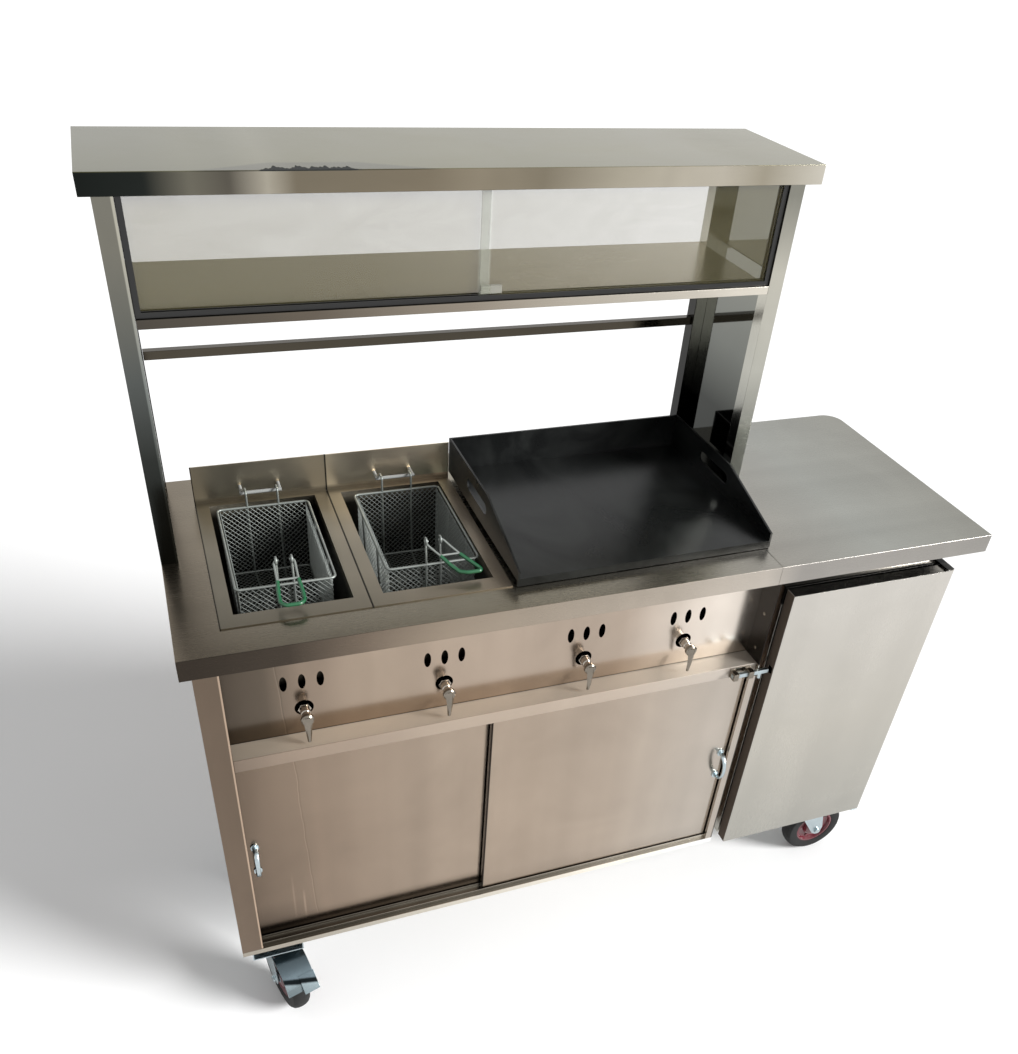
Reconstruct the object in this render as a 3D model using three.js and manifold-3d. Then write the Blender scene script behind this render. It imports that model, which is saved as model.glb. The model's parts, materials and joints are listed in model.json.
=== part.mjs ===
import * as THREE from 'three';
import { mergeVertices } from 'three/addons/utils/BufferGeometryUtils.js';
import Module from 'manifold-3d';

// Stainless steel food cart: a main body with two drop-in fryers, a loose griddle, a row of
// gas valves and two sliding doors, a side cupboard with a hinged door, and an upper frame
// with a glazed display shelf under a canopy. Sizes are in millimetres. While the pieces are
// made, X runs from the left end of the worktop, Y from its front edge and Z from the floor.

// Overall sizes
const mainLength = 825;
const sideLength = 375;
const cartDepth = 434;
const worktopHeight = 800;

// Sheet metal and running clearances
const sheet = 1.5;
const seat = 0.3;
const overrun = 5;
const grid = 0.001;

// Worktops
const fasciaHeight = 30;
const hemWidth = 12;
const worktopCorner = 30;

// Main body
const bodyLeftInset = 14;
const bodyFrontInset = 24;
const bodyBackInset = 14;
const bodyPastSeam = 26;
const deckHeight = 10;
const leftStile = 32;
const rightStile = 13;
const stileLip = 6;
const backReturn = 20;

// Casters and their base tubes
const wheelDiameter = 125;
const wheelWidth = 32;
const casterHeight = 160;
const casterTrail = 36;
const plateThickness = 4;
const plateLength = 90;
const plateWidth = 70;
const bearingHeight = 6;
const bearingRadius = 26;
const axleRadius = 6;
const baseTubeWidth = 80;
const baseTubeWall = 2;
const baseTubeDrop = 18;
const leftCasterInset = 54;
const casterInset = 68;
const cabinetCasterFromRight = 54;
const boltHeadRadius = 6;
const boltHeadHeight = 4;
const legGap = 4;
const legThickness = 2;
const brakeGap = 8;
const brakeThickness = 2.5;
const brakePinRadius = 3;
const brakePinSetback = 24;
const brakePinDrop = 12;
const brakeFrom = THREE.MathUtils.degToRad(10);
const brakeEarEnd = THREE.MathUtils.degToRad(24);
const pedalFrom = THREE.MathUtils.degToRad(45);
const brakeTo = THREE.MathUtils.degToRad(66);
const pedalLength = 32;
const pedalWidth = 26;
const brakePedalTurn = THREE.MathUtils.degToRad(42);

// Side cabinet
const cabinetGap = 19;
const cabinetRightInset = 36;
const cabinetLift = 6;
const cabinetFrontInset = 35.5;
const cabinetReturn = 20;
const doorThickness = 20;
const sealGap = 4;
const pullRecessHeight = 37;
const pullRecessDepth = 13;
const gasketWidth = 12;
const hingePinInset = 8;
const hingePinRadius = 3;
const hingePinLength = 12;
const bracketThickness = 3;
const bracketWidth = 13;
const joiningChannelDepth = 40;
const joiningChannelInset = 40;

// Control panel, ledge and sliding doors
const panelRecess = 39;
const ledgeFace = 21;
const ledgeSetback = 6;
const slideDoorThickness = 9;
const slideDoorOverlap = 43.2;
const slideDoorHem = 6.5;
const slideFin = 1.5;
const slideGap = 1.2;
const slideLift = 4;
const trackFinHeight = 5;
const slotWidth = 10;
const slotHeight = 25;
const slotPitch = 24.6;
const slotRise = 46;
const valveRise = 44.5;
const valveHoleRadius = 13;
const fryerValveShares = [0.492, 0.531];
const griddleValveShares = [0.312, 0.737];
const doorPullHeight = 66;
const doorPullProjection = 24;
const doorPullWidth = 12;
const doorPullThickness = 3;
const doorPullFoot = 12;
const doorPullCentreHeight = 378;
const doorPullInset = 5;

// Latch
const latchLength = 36;
const latchHeight = 18;
const latchPlate = 1.5;
const boltWidth = 7;
const boltDepth = 5.5;
const boltRest = 4;
const latchTravel = 12;
const latchGuide = 3;
const latchKnob = 9;
const latchHoleGap = 3;

// Gas train
const manifoldSetback = 36;
const manifoldRadius = 8;
const valveBarrelRadius = 7;
const valveBarrelProjection = 23;
const nozzleLength = 18;
const nozzleRadius = 4;
const burnerRadius = 12;
const burnerGap = 25;
const burnerLength = 215;
const burnerRailHeight = 14;
const leverLength = 38;
const leverRoot = 13;
const leverTip = 7;
const leverThickness = 5;
const leverHubRadius = 9;
const leverHubLength = 9;
const inletProjection = 18;

// Fryers
const fryerLeft = 56;
const fryerWidth = 189;
const fryerFront = 50;
const fryerFlangeDepth = 308;
const fryerSeam = 0.6;
const tankWidth = 151;
const tankLength = 270;
const tankDepth = 120;
const tankFrontMargin = 26;
const backsplashHeight = 60;
const cutoutClearance = 2;

// Baskets
const basketWidth = 132;
const basketLength = 208;
const basketHeight = 108;
const basketRimRise = 8;
const basketFrontInset = 46;
const basketOffsets = [-2.5, 4.5];
const basketRim = 4;
const basketWire = 2;
const basketTaper = 5;
const basketPitch = 44;
const rackWidth = 54;
const rackReach = 25;
const rackRise = 25;
const rackRadius = 2.5;
const hookSpread = 30;
const hookThickness = 3;
const hookPlay = 1.5;
const gripWire = 4;
const gripSpread = 26;
const gripRise = 33;
const gripRingRadius = 4.5;
const gripReach = 62;
const gripDrop = 26;
const gripEnd = 34;
const gripTurn = 0.72;
const eyePlay = 0.8;

// Griddle
const griddleGap = 3.4;
const griddlePastSeam = 5;
const griddleFront = 49;
const griddleDepth = 314;
const griddlePlate = 4;
const griddleFoot = 9;
const griddleFootRadius = 5;
const griddleFootInset = 22;
const griddleGuard = 52;
const griddleGuardFront = 12;
const griddleGuardKnee = 135;
const griddleLip = 12;
const griddleWall = 3;
const griddleSlotLength = 88;
const griddleSlotHeight = 17;
const griddleSlotDrop = 26;
const griddleTurn = THREE.MathUtils.degToRad(0.6);
const griddleCutInset = 60;

// Upper frame and display shelf
const postSize = 22;
const postWall = 1.5;
const upperFront = 212;
const upperDepth = 206;
const upperPastSeam = 42;
const upperHeight = 477;
const canopyFascia = 24;
const canopyLeftOverhang = 12.4;
const canopyRightOverhang = 23;
const canopyLip = 2;
const shelfRise = 323;
const shelfEdge = 11;
const crossbarSize = 12;
const crossbarRise = 200;
const glassThickness = 4;
const glassGap = 0.5;
const glassFin = 1;
const glassSetback = 3;
const glassTrackHeight = 8;
const glassSideCover = 9;
const glassPaneOverlap = 13.2;
const glassTopClearance = 6;
const glassTopTrack = 20;
const glassTopBase = 6;
const panePullWidth = 28;
const panePullHeight = 10;
const panePullDepth = 6;

// How round shapes are divided
const wheelSides = 22;
const roundSides = 16;
const smallSides = 10;
const wireSides = 6;
const wireBend = 0.15;
const gripSteps = 33;
const arcSteps = 3;

// Places that follow from the sizes above
const cartLength = mainLength + sideLength;
const worktopUnder = worktopHeight - sheet;
const skirtBottom = worktopHeight - fasciaHeight;
const bodyLeft = bodyLeftInset;
const bodyRight = mainLength + bodyPastSeam;
const bodyFront = bodyFrontInset;
const bodyBack = cartDepth - bodyBackInset;
const bodyBottom = casterHeight + baseTubeDrop;
const deckTop = bodyBottom + deckHeight;
const cabinetLeft = bodyRight + cabinetGap;
const cabinetRight = cartLength - cabinetRightInset;
const cabinetBottom = bodyBottom + cabinetLift;
const cabinetFront = cabinetFrontInset;
const cabinetDoorBack = cabinetFront - sealGap;
const cabinetDoorFront = cabinetDoorBack - doorThickness;
const cabinetDoorTop = skirtBottom - pullRecessHeight;
const panelY = bodyFront + panelRecess;
const tankFloor = worktopHeight - tankDepth;
const valveAxisHeight = tankFloor - sheet - burnerGap - burnerRadius;
const ledgeHeight = valveAxisHeight - valveRise;
const ledgeBottom = ledgeHeight - ledgeFace;
const ledgeFront = bodyFront + ledgeSetback;
const slidePitch = slideDoorThickness + 2 * slideGap + slideFin;
const frontDoorY = ledgeFront + slideFin + slideGap;
const rearDoorY = frontDoorY + slidePitch;
const trackBack = rearDoorY + slideDoorThickness + slideGap + slideFin;
const insideLeft = bodyLeft + sheet + seat;
const insideRight = bodyRight - sheet - seat;
const slideDoorWidth = (insideRight - insideLeft - 2 * seat + slideDoorOverlap) / 2;
const griddleLeft = fryerLeft + 2 * fryerWidth + fryerSeam + griddleGap;
const griddleWidth = mainLength + griddlePastSeam - griddleLeft;
const valveXs = [
  ...fryerValveShares.map((share, index) => fryerX(index) + share * fryerWidth),
  ...griddleValveShares.map((share) => griddleLeft + share * griddleWidth)];
const manifoldY = panelY + manifoldSetback;
const manifoldElbowX = valveXs[3] + slotPitch + manifoldRadius;
const upperLength = mainLength + upperPastSeam;
const upperBack = upperFront + upperDepth;
const canopyTop = worktopHeight + upperHeight;
const canopyBottom = canopyTop - canopyFascia;
const canopyUnder = canopyTop - sheet;
const shelfTop = worktopHeight + shelfRise;
const basketRimTop = worktopHeight + basketRimRise;
const basketBottom = basketRimTop - basketHeight;

// Colours
const palette = {
  brushed: { color: 0xb3ada0, metalness: 1, roughness: 0.35 },
  polished: { color: 0xc4c6c6, metalness: 1, roughness: 0.12 },
  zinc: { color: 0xb9c4c6, metalness: 1, roughness: 0.3 },
  chrome: { color: 0xd6d8d8, metalness: 1, roughness: 0.1 },
  castIron: { color: 0x2a2b2c, metalness: 0.6, roughness: 0.5 },
  wire: { color: 0xc9cccb, metalness: 1, roughness: 0.25 },
  greenSleeve: { color: 0x1e8a55, metalness: 0, roughness: 0.35 },
  glass: { color: 0xdfe9e4, metalness: 0, roughness: 0.05, transparent: true, opacity: 0.3 },
  clearPlastic: { color: 0xd8dcd8, metalness: 0, roughness: 0.2 },
  blackPlastic: { color: 0x17181a, metalness: 0, roughness: 0.5 },
  rubber: { color: 0x1d1d1d, metalness: 0, roughness: 0.8 },
};

const wasm = await Module();
wasm.setup();

const cart = new THREE.Group();
cart.name = 'food_cart';

// Turns a closed geometry into a solid, its points set on a fine grid so that flush faces agree.
function solidOf(geometry) {
  const bare = geometry.index ? geometry.toNonIndexed() : geometry.clone();
  bare.deleteAttribute('normal');
  bare.deleteAttribute('uv');
  const places = bare.attributes.position.array;
  places.forEach((value, i) => { places[i] = Math.round(value / grid) * grid; });
  const merged = mergeVertices(bare, grid / 2);
  return new wasm.Manifold(new wasm.Mesh({
    numProp: 3,
    vertProperties: Float32Array.from(merged.attributes.position.array),
    triVerts: Uint32Array.from(merged.index.array),
  }));
}

// Turns a solid back into a geometry with flat faces, flush faces made one.
function geometryOf(solid) {
  const mesh = solid.asOriginal().getMesh();
  const geometry = new THREE.BufferGeometry();
  geometry.setAttribute('position', new THREE.BufferAttribute(Float32Array.from(mesh.vertProperties), 3));
  geometry.setIndex(Array.from(mesh.triVerts));
  const flat = geometry.toNonIndexed();
  flat.computeVertexNormals();
  return flat;
}

function joined(...solids) {
  return solids.flat().reduce((whole, piece) => whole.add(piece));
}

function cut(solid, ...tools) {
  return tools.flat().reduce((rest, tool) => rest.subtract(tool), solid);
}

// A box between two limits on each axis.
function block([x0, x1], [y0, y1], [z0, z1]) {
  const geometry = new THREE.BoxGeometry(x1 - x0, y1 - y0, z1 - z0);
  geometry.translate((x0 + x1) / 2, (y0 + y1) / 2, (z0 + z1) / 2);
  return solidOf(geometry);
}

// A round bar between two points.
function rod(from, to, radius, sides = roundSides, endRadius = radius) {
  const start = new THREE.Vector3(...from);
  const along = new THREE.Vector3(...to).sub(start);
  const geometry = new THREE.CylinderGeometry(endRadius, radius, along.length(), sides);
  const upright = new THREE.Vector3(0, 1, 0);
  const turn = new THREE.Quaternion().setFromUnitVectors(upright, along.clone().normalize());
  geometry.applyQuaternion(turn);
  geometry.translate(...start.addScaledVector(along, 0.5).toArray());
  return solidOf(geometry);
}

// A round wire along a smooth curve through a list of points.
function wire(points, radius, steps) {
  const places = points.map((point) => new THREE.Vector3(...point));
  const path = new THREE.CatmullRomCurve3(places, false, 'catmullrom', wireBend);
  const section = new THREE.Shape();
  for (let i = 0; i <= wireSides; i += 1) {
    const angle = 2 * Math.PI * i / wireSides;
    const place = [radius * Math.cos(angle), radius * Math.sin(angle)];
    if (i) section.lineTo(...place);
    else section.moveTo(...place);
  }
  return solidOf(new THREE.ExtrudeGeometry(section, { steps, extrudePath: path, bevelEnabled: false }));
}

// A section drawn in Y and Z, run along X.
function alongX(outline, [x0, x1]) {
  const shape = new THREE.Shape(outline.map(([y, z]) => new THREE.Vector2(y, z)));
  const geometry = new THREE.ExtrudeGeometry(shape, { depth: x1 - x0, bevelEnabled: false });
  const frame = new THREE.Matrix4().makeBasis(
    new THREE.Vector3(0, 1, 0), new THREE.Vector3(0, 0, 1), new THREE.Vector3(1, 0, 0));
  geometry.applyMatrix4(frame);
  geometry.translate(x0, 0, 0);
  return solidOf(geometry);
}

// A shape drawn in X and Z, run along Y.
function alongY(shape, [y0, y1]) {
  const geometry = new THREE.ExtrudeGeometry(shape,
    { depth: y1 - y0, bevelEnabled: false, curveSegments: arcSteps });
  const frame = new THREE.Matrix4().makeBasis(
    new THREE.Vector3(1, 0, 0), new THREE.Vector3(0, 0, 1), new THREE.Vector3(0, -1, 0));
  geometry.applyMatrix4(frame);
  geometry.translate(0, y1, 0);
  return solidOf(geometry);
}

// A shape drawn in X and Y, run along Z.
function alongZ(shape, [z0, z1]) {
  const geometry = new THREE.ExtrudeGeometry(shape,
    { depth: z1 - z0, bevelEnabled: false, curveSegments: arcSteps });
  geometry.translate(0, 0, z0);
  return solidOf(geometry);
}

function rectangle(x0, x1, y0, y1, corners = [0, 0, 0, 0]) {
  const [frontLeft, frontRight, backRight, backLeft] = corners;
  const shape = new THREE.Shape();
  shape.moveTo(x0 + frontLeft, y0);
  shape.lineTo(x1 - frontRight, y0);
  if (frontRight) shape.absarc(x1 - frontRight, y0 + frontRight, frontRight, -Math.PI / 2, 0, false);
  shape.lineTo(x1, y1 - backRight);
  if (backRight) shape.absarc(x1 - backRight, y1 - backRight, backRight, 0, Math.PI / 2, false);
  shape.lineTo(x0 + backLeft, y1);
  if (backLeft) shape.absarc(x0 + backLeft, y1 - backLeft, backLeft, Math.PI / 2, Math.PI, false);
  shape.lineTo(x0, y0 + frontLeft);
  if (frontLeft) shape.absarc(x0 + frontLeft, y0 + frontLeft, frontLeft, Math.PI, 1.5 * Math.PI, false);
  return shape;
}

// A slot with round ends, its length along the second axis.
function slot(centreX, centreZ, width, height) {
  const radius = width / 2;
  const straight = height / 2 - radius;
  const shape = new THREE.Shape();
  shape.absarc(centreX, centreZ + straight, radius, 0, Math.PI, false);
  shape.absarc(centreX, centreZ - straight, radius, Math.PI, 2 * Math.PI, false);
  shape.closePath();
  return shape;
}

function part(name, solid, look, parent = cart, at = [0, 0, 0]) {
  const mesh = new THREE.Mesh(geometryOf(solid), new THREE.MeshStandardMaterial(palette[look]));
  mesh.name = name;
  mesh.position.set(...at);
  parent.add(mesh);
  return mesh;
}

// A rectangular tube run along Z, open at both ends.
function tubeZ([x0, x1], [y0, y1], [z0, z1], wall) {
  return cut(
    block([x0, x1], [y0, y1], [z0, z1]),
    block([x0 + wall, x1 - wall], [y0 + wall, y1 - wall], [z0 - overrun, z1 + overrun]));
}

// Worktops: folded sheet trays, upside down, with a hem round the bottom of the fascia.
function tray([x0, x1], corners, hemLeft, hemRight) {
  const inner = corners.map((radius) => Math.max(radius - sheet, 0));
  const inset = corners.map((radius) => Math.max(radius - hemWidth, 0));
  const outside = alongZ(rectangle(x0, x1, 0, cartDepth, corners), [skirtBottom, worktopHeight]);
  const inside = alongZ(
    rectangle(x0 + sheet, x1 - sheet, sheet, cartDepth - sheet, inner),
    [skirtBottom + sheet, worktopUnder]);
  const mouth = alongZ(
    rectangle(x0 + hemLeft, x1 - hemRight, hemWidth, cartDepth - hemWidth, inset),
    [skirtBottom - overrun, skirtBottom + 2 * sheet]);
  return cut(outside, inside, mouth);
}

function fryerX(index) {
  return fryerLeft + index * (fryerWidth + fryerSeam);
}

function tankRange(index) {
  const centre = fryerX(index) + fryerWidth / 2;
  const front = fryerFront + tankFrontMargin;
  return [[centre - tankWidth / 2, centre + tankWidth / 2], [front, front + tankLength]];
}

function makeWorktops() {
  const tankHoles = [0, 1].map((index) => {
    const [[x0, x1], [y0, y1]] = tankRange(index);
    const grow = sheet + cutoutClearance;
    return block([x0 - grow, x1 + grow], [y0 - grow, y1 + grow],
      [worktopUnder - overrun, worktopHeight + overrun]);
  });
  const burnerHole = block(
    [griddleLeft + griddleCutInset, griddleLeft + griddleWidth - griddleCutInset],
    [griddleFront + griddleCutInset, griddleFront + griddleDepth - griddleCutInset],
    [worktopUnder - overrun, worktopHeight + overrun]);
  const main = tray([0, mainLength], [0, 0, 0, 0], hemWidth, sheet);
  part('main_worktop', cut(main, tankHoles, burnerHole), 'brushed');
  const side = tray([mainLength + seat, cartLength], [0, 0, worktopCorner, 0], sheet, hemWidth);
  part('side_worktop', side, 'brushed');
}

// A side panel folded round a front stile with a lip, and round a narrow return at the back.
function foldedPanel(outerX, inward, stile, z) {
  const x = (reach) => outerX + inward * reach;
  const outline = [
    [x(0), bodyFront], [x(stile), bodyFront], [x(stile), bodyFront + stileLip],
    [x(stile - sheet), bodyFront + stileLip], [x(stile - sheet), bodyFront + sheet],
    [x(sheet), bodyFront + sheet], [x(sheet), bodyBack - sheet],
    [x(backReturn), bodyBack - sheet], [x(backReturn), bodyBack], [x(0), bodyBack]];
  return alongZ(new THREE.Shape(outline.map((place) => new THREE.Vector2(...place))), z);
}

// Main body: side panels with folded front stiles, a back, a deck and a bottom rail.
function makeMainBody() {
  const panelZ = [deckTop, worktopUnder - seat];
  part('left_side_panel', foldedPanel(bodyLeft, 1, leftStile, panelZ), 'brushed');
  const aboveLedge = block([bodyRight - rightStile - overrun, bodyRight - sheet],
    [bodyFront - overrun, bodyFront + stileLip + overrun], [ledgeBottom - seat, worktopHeight]);
  part('right_side_panel', cut(foldedPanel(bodyRight, -1, rightStile, panelZ), aboveLedge), 'brushed');

  const inletHole = rod(
    [manifoldElbowX, bodyBack - sheet - overrun, valveAxisHeight],
    [manifoldElbowX, bodyBack + overrun, valveAxisHeight], manifoldRadius + cutoutClearance);
  const back = block([insideLeft, insideRight], [bodyBack - 2 * sheet, bodyBack - sheet],
    [deckTop, skirtBottom - seat]);
  part('back_panel', cut(back, inletHole), 'brushed');

  const deck = cut(
    block([bodyLeft, bodyRight], [bodyFront, bodyBack], [bodyBottom, deckTop]),
    block([bodyLeft + sheet, bodyRight - sheet], [bodyFront + sheet, bodyBack - sheet],
      [bodyBottom - overrun, deckTop - sheet]));
  part('floor_deck', deck, 'brushed');
}

// Sliding door track on the deck and the polished ledge that guides the doors from above.
function finYs() {
  return [ledgeFront, frontDoorY + slideDoorThickness + slideGap, trackBack - slideFin];
}

// A track of comb section: a base strip along X with an upright fin at each of the given places.
function comb(x, places, fin, baseEnd, base, tip) {
  const outline = places.flatMap((y) => [[y, base[1]], [y, tip], [y + fin, tip], [y + fin, base[1]]]);
  if (baseEnd > places.at(-1) + fin) outline.push([baseEnd, base[1]]);
  return alongX([[places[0], base[0]], ...outline, [baseEnd, base[0]]], x);
}

function makeTrackAndLedge() {
  const fins = finYs();
  part('door_track',
    comb([insideLeft, insideRight], fins, slideFin, trackBack, [deckTop, deckTop + sheet],
      deckTop + sheet + trackFinHeight), 'brushed');
  part('door_ledge',
    comb([bodyLeft + leftStile + seat, insideRight], fins, slideFin, panelY + sheet,
      [ledgeHeight, ledgeHeight - sheet], ledgeBottom), 'polished');
}

// Control panel with four groups of three slots and a round hole for each valve.
function makeControlPanel() {
  const through = [panelY - overrun, panelY + sheet + overrun];
  const slots = valveXs.flatMap((x) => [-1, 0, 1].map((step) => alongY(
    slot(x + step * slotPitch, valveAxisHeight + slotRise, slotWidth, slotHeight), through)));
  const holes = valveXs.map((x) => rod(
    [x, through[0], valveAxisHeight], [x, through[1], valveAxisHeight], valveHoleRadius));
  const sheetMetal = block([insideLeft, insideRight], [panelY, panelY + sheet],
    [ledgeHeight, skirtBottom - seat]);
  part('control_panel', cut(sheetMetal, slots, holes), 'brushed');
}

// Gas manifold: one pipe with four valve bodies, two clamps to the panel and an inlet at the back.
function makeGasTrain() {
  const pipeStart = valveXs[0] - slotPitch;
  const pipe = rod([pipeStart, manifoldY, valveAxisHeight],
    [manifoldElbowX, manifoldY, valveAxisHeight], manifoldRadius, smallSides);
  const elbow = new THREE.SphereGeometry(manifoldRadius, smallSides, wireSides);
  elbow.translate(manifoldElbowX, manifoldY, valveAxisHeight);
  const inlet = rod([manifoldElbowX, manifoldY, valveAxisHeight],
    [manifoldElbowX, bodyBack + inletProjection, valveAxisHeight], manifoldRadius, smallSides);
  const valves = valveXs.flatMap((x) => [
    rod([x, panelY - valveBarrelProjection, valveAxisHeight], [x, manifoldY, valveAxisHeight],
      valveBarrelRadius),
    rod([x, manifoldY, valveAxisHeight], [x, manifoldY + nozzleLength, valveAxisHeight],
      nozzleRadius, smallSides),
  ]);
  const clampXs = [(valveXs[0] + valveXs[1]) / 2, (valveXs[2] + valveXs[3]) / 2];
  const clamps = clampXs.map((x) => block(
    [x - manifoldRadius, x + manifoldRadius], [panelY + sheet, manifoldY],
    [valveAxisHeight - manifoldRadius / 2, valveAxisHeight + manifoldRadius / 2]));
  part('gas_manifold', joined(pipe, solidOf(elbow), inlet, valves, clamps), 'zinc');

  const burnerY = [manifoldY + manifoldRadius + seat, manifoldY + manifoldRadius + seat + burnerLength];
  const burnerAt = (x) => cut(
    rod([x, burnerY[0], valveAxisHeight], [x, burnerY[1], valveAxisHeight], burnerRadius),
    rod([x, burnerY[0] - overrun, valveAxisHeight], [x, burnerY[0] + 2 * nozzleLength, valveAxisHeight],
      nozzleRadius + seat, smallSides));
  part('left_fryer_burner', burnerAt(valveXs[0]), 'castIron');
  part('right_fryer_burner', burnerAt(valveXs[1]), 'castIron');
  const crossY = (burnerY[0] + burnerY[1]) / 2;
  const cross = rod([valveXs[2] + burnerRadius / 2, crossY, valveAxisHeight],
    [valveXs[3] - burnerRadius / 2, crossY, valveAxisHeight], burnerRadius / 2, smallSides);
  part('griddle_burner', joined(burnerAt(valveXs[2]), burnerAt(valveXs[3]), cross), 'castIron');

  const railY = burnerY[1] - 2 * burnerRadius;
  const railTop = valveAxisHeight - burnerRadius - seat;
  const rail = joined(
    block([insideLeft, insideRight], [railY, railY + burnerRailHeight], [railTop - sheet, railTop]),
    block([insideLeft, insideRight], [railY, railY + sheet], [railTop - burnerRailHeight, railTop]));
  part('burner_rail', rail, 'brushed');
}

// Valve levers: a hub on the stem with a tapered blade hanging down.
function makeLevers() {
  valveXs.forEach((x, index) => {
    const hubBack = panelY - valveBarrelProjection - seat;
    const hubFront = hubBack - leverHubLength;
    const hub = rod([0, -leverHubLength, 0], [0, 0, 0], leverHubRadius, roundSides, leverHubRadius * 0.8);
    const blade = new THREE.Shape([
      new THREE.Vector2(-leverRoot / 2, 0), new THREE.Vector2(-leverTip / 2, -leverLength),
      new THREE.Vector2(leverTip / 2, -leverLength), new THREE.Vector2(leverRoot / 2, 0)]);
    const bladeSolid = alongY(blade, [-leverHubLength, -leverHubLength + leverThickness]);
    const lever = part(`valve_lever_${index + 1}`, joined(hub, bladeSolid), 'chrome');
    lever.position.set(x, hubFront + leverHubLength, valveAxisHeight);
  });
}

// Sliding doors and their arched pulls.
function makeSlidingDoors() {
  const doorZ = [deckTop + sheet + seat, ledgeHeight - sheet - slideLift];
  const doors = [
    { side: 'left', x: insideLeft + seat, y: rearDoorY, pullX: bodyLeft + leftStile + doorPullInset },
    { side: 'right', x: insideRight - seat - slideDoorWidth, y: frontDoorY,
      pullX: bodyRight - rightStile - doorPullInset - doorPullWidth + seat },
  ];
  for (const { side, x, y, pullX } of doors) {
    const leaf = cut(
      block([x, x + slideDoorWidth], [y, y + slideDoorThickness], doorZ),
      block([x + slideDoorHem, x + slideDoorWidth - slideDoorHem],
        [y + sheet, y + slideDoorThickness + overrun],
        [doorZ[0] + slideDoorHem, doorZ[1] - slideDoorHem]));
    part(`${side}_sliding_door`, leaf, 'brushed');
    const pullAt = [pullX + doorPullWidth / 2, y, doorPullCentreHeight];
    part(`${side}_door_pull`, doorPull(), 'zinc', cart, pullAt);
  }
}

// An arched strip with two feet that lie on the door, its back face at Y = 0.
function doorPull() {
  const half = doorPullHeight / 2;
  const bow = half - doorPullFoot;
  const outer = [];
  const inner = [];
  const steps = 2 * arcSteps;
  for (let i = 0; i <= steps; i += 1) {
    const angle = Math.PI * i / steps;
    outer.push([-doorPullProjection * Math.sin(angle), -bow * Math.cos(angle)]);
    inner.push([-(doorPullProjection - doorPullThickness) * Math.sin(angle),
      -(bow - doorPullThickness) * Math.cos(angle)]);
  }
  const arch = alongX([...outer, ...inner.reverse()], [-doorPullWidth / 2, doorPullWidth / 2]);
  const feet = [-1, 1].map((end) => {
    const limits = [end * (bow - doorPullThickness), end * half].sort((a, b) => a - b);
    return block([-doorPullWidth / 2, doorPullWidth / 2], [-doorPullThickness, 0], limits);
  });
  const behind = block([-doorPullWidth, doorPullWidth], [0, overrun], [-doorPullHeight, doorPullHeight]);
  return cut(joined(arch, feet), behind);
}

// Side cabinet: a sheet box with a return round its mouth, set back above the door to make a
// finger recess.
function cabinetShell() {
  const insideX = [cabinetLeft + sheet, cabinetRight - sheet];
  const insideBack = bodyBack - sheet;
  const top = worktopUnder - seat;
  const whole = block([cabinetLeft, cabinetRight], [cabinetFront, bodyBack], [cabinetBottom, top]);
  const lower = block(insideX, [cabinetFront + sheet, insideBack],
    [cabinetBottom + sheet, cabinetDoorTop - sheet]);
  const upper = block(insideX, [cabinetFront + pullRecessDepth + sheet, insideBack],
    [cabinetDoorTop - 2 * sheet, top - sheet]);
  const mouth = block([cabinetLeft + cabinetReturn, cabinetRight - cabinetReturn],
    [cabinetFront - overrun, cabinetFront + 2 * sheet],
    [cabinetBottom + cabinetReturn, cabinetDoorTop - cabinetReturn]);
  const recess = block([cabinetLeft - overrun, cabinetRight + overrun],
    [cabinetFront - overrun, cabinetFront + pullRecessDepth], [cabinetDoorTop, worktopHeight + overrun]);
  return cut(whole, lower, upper, mouth, recess);
}

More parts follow.
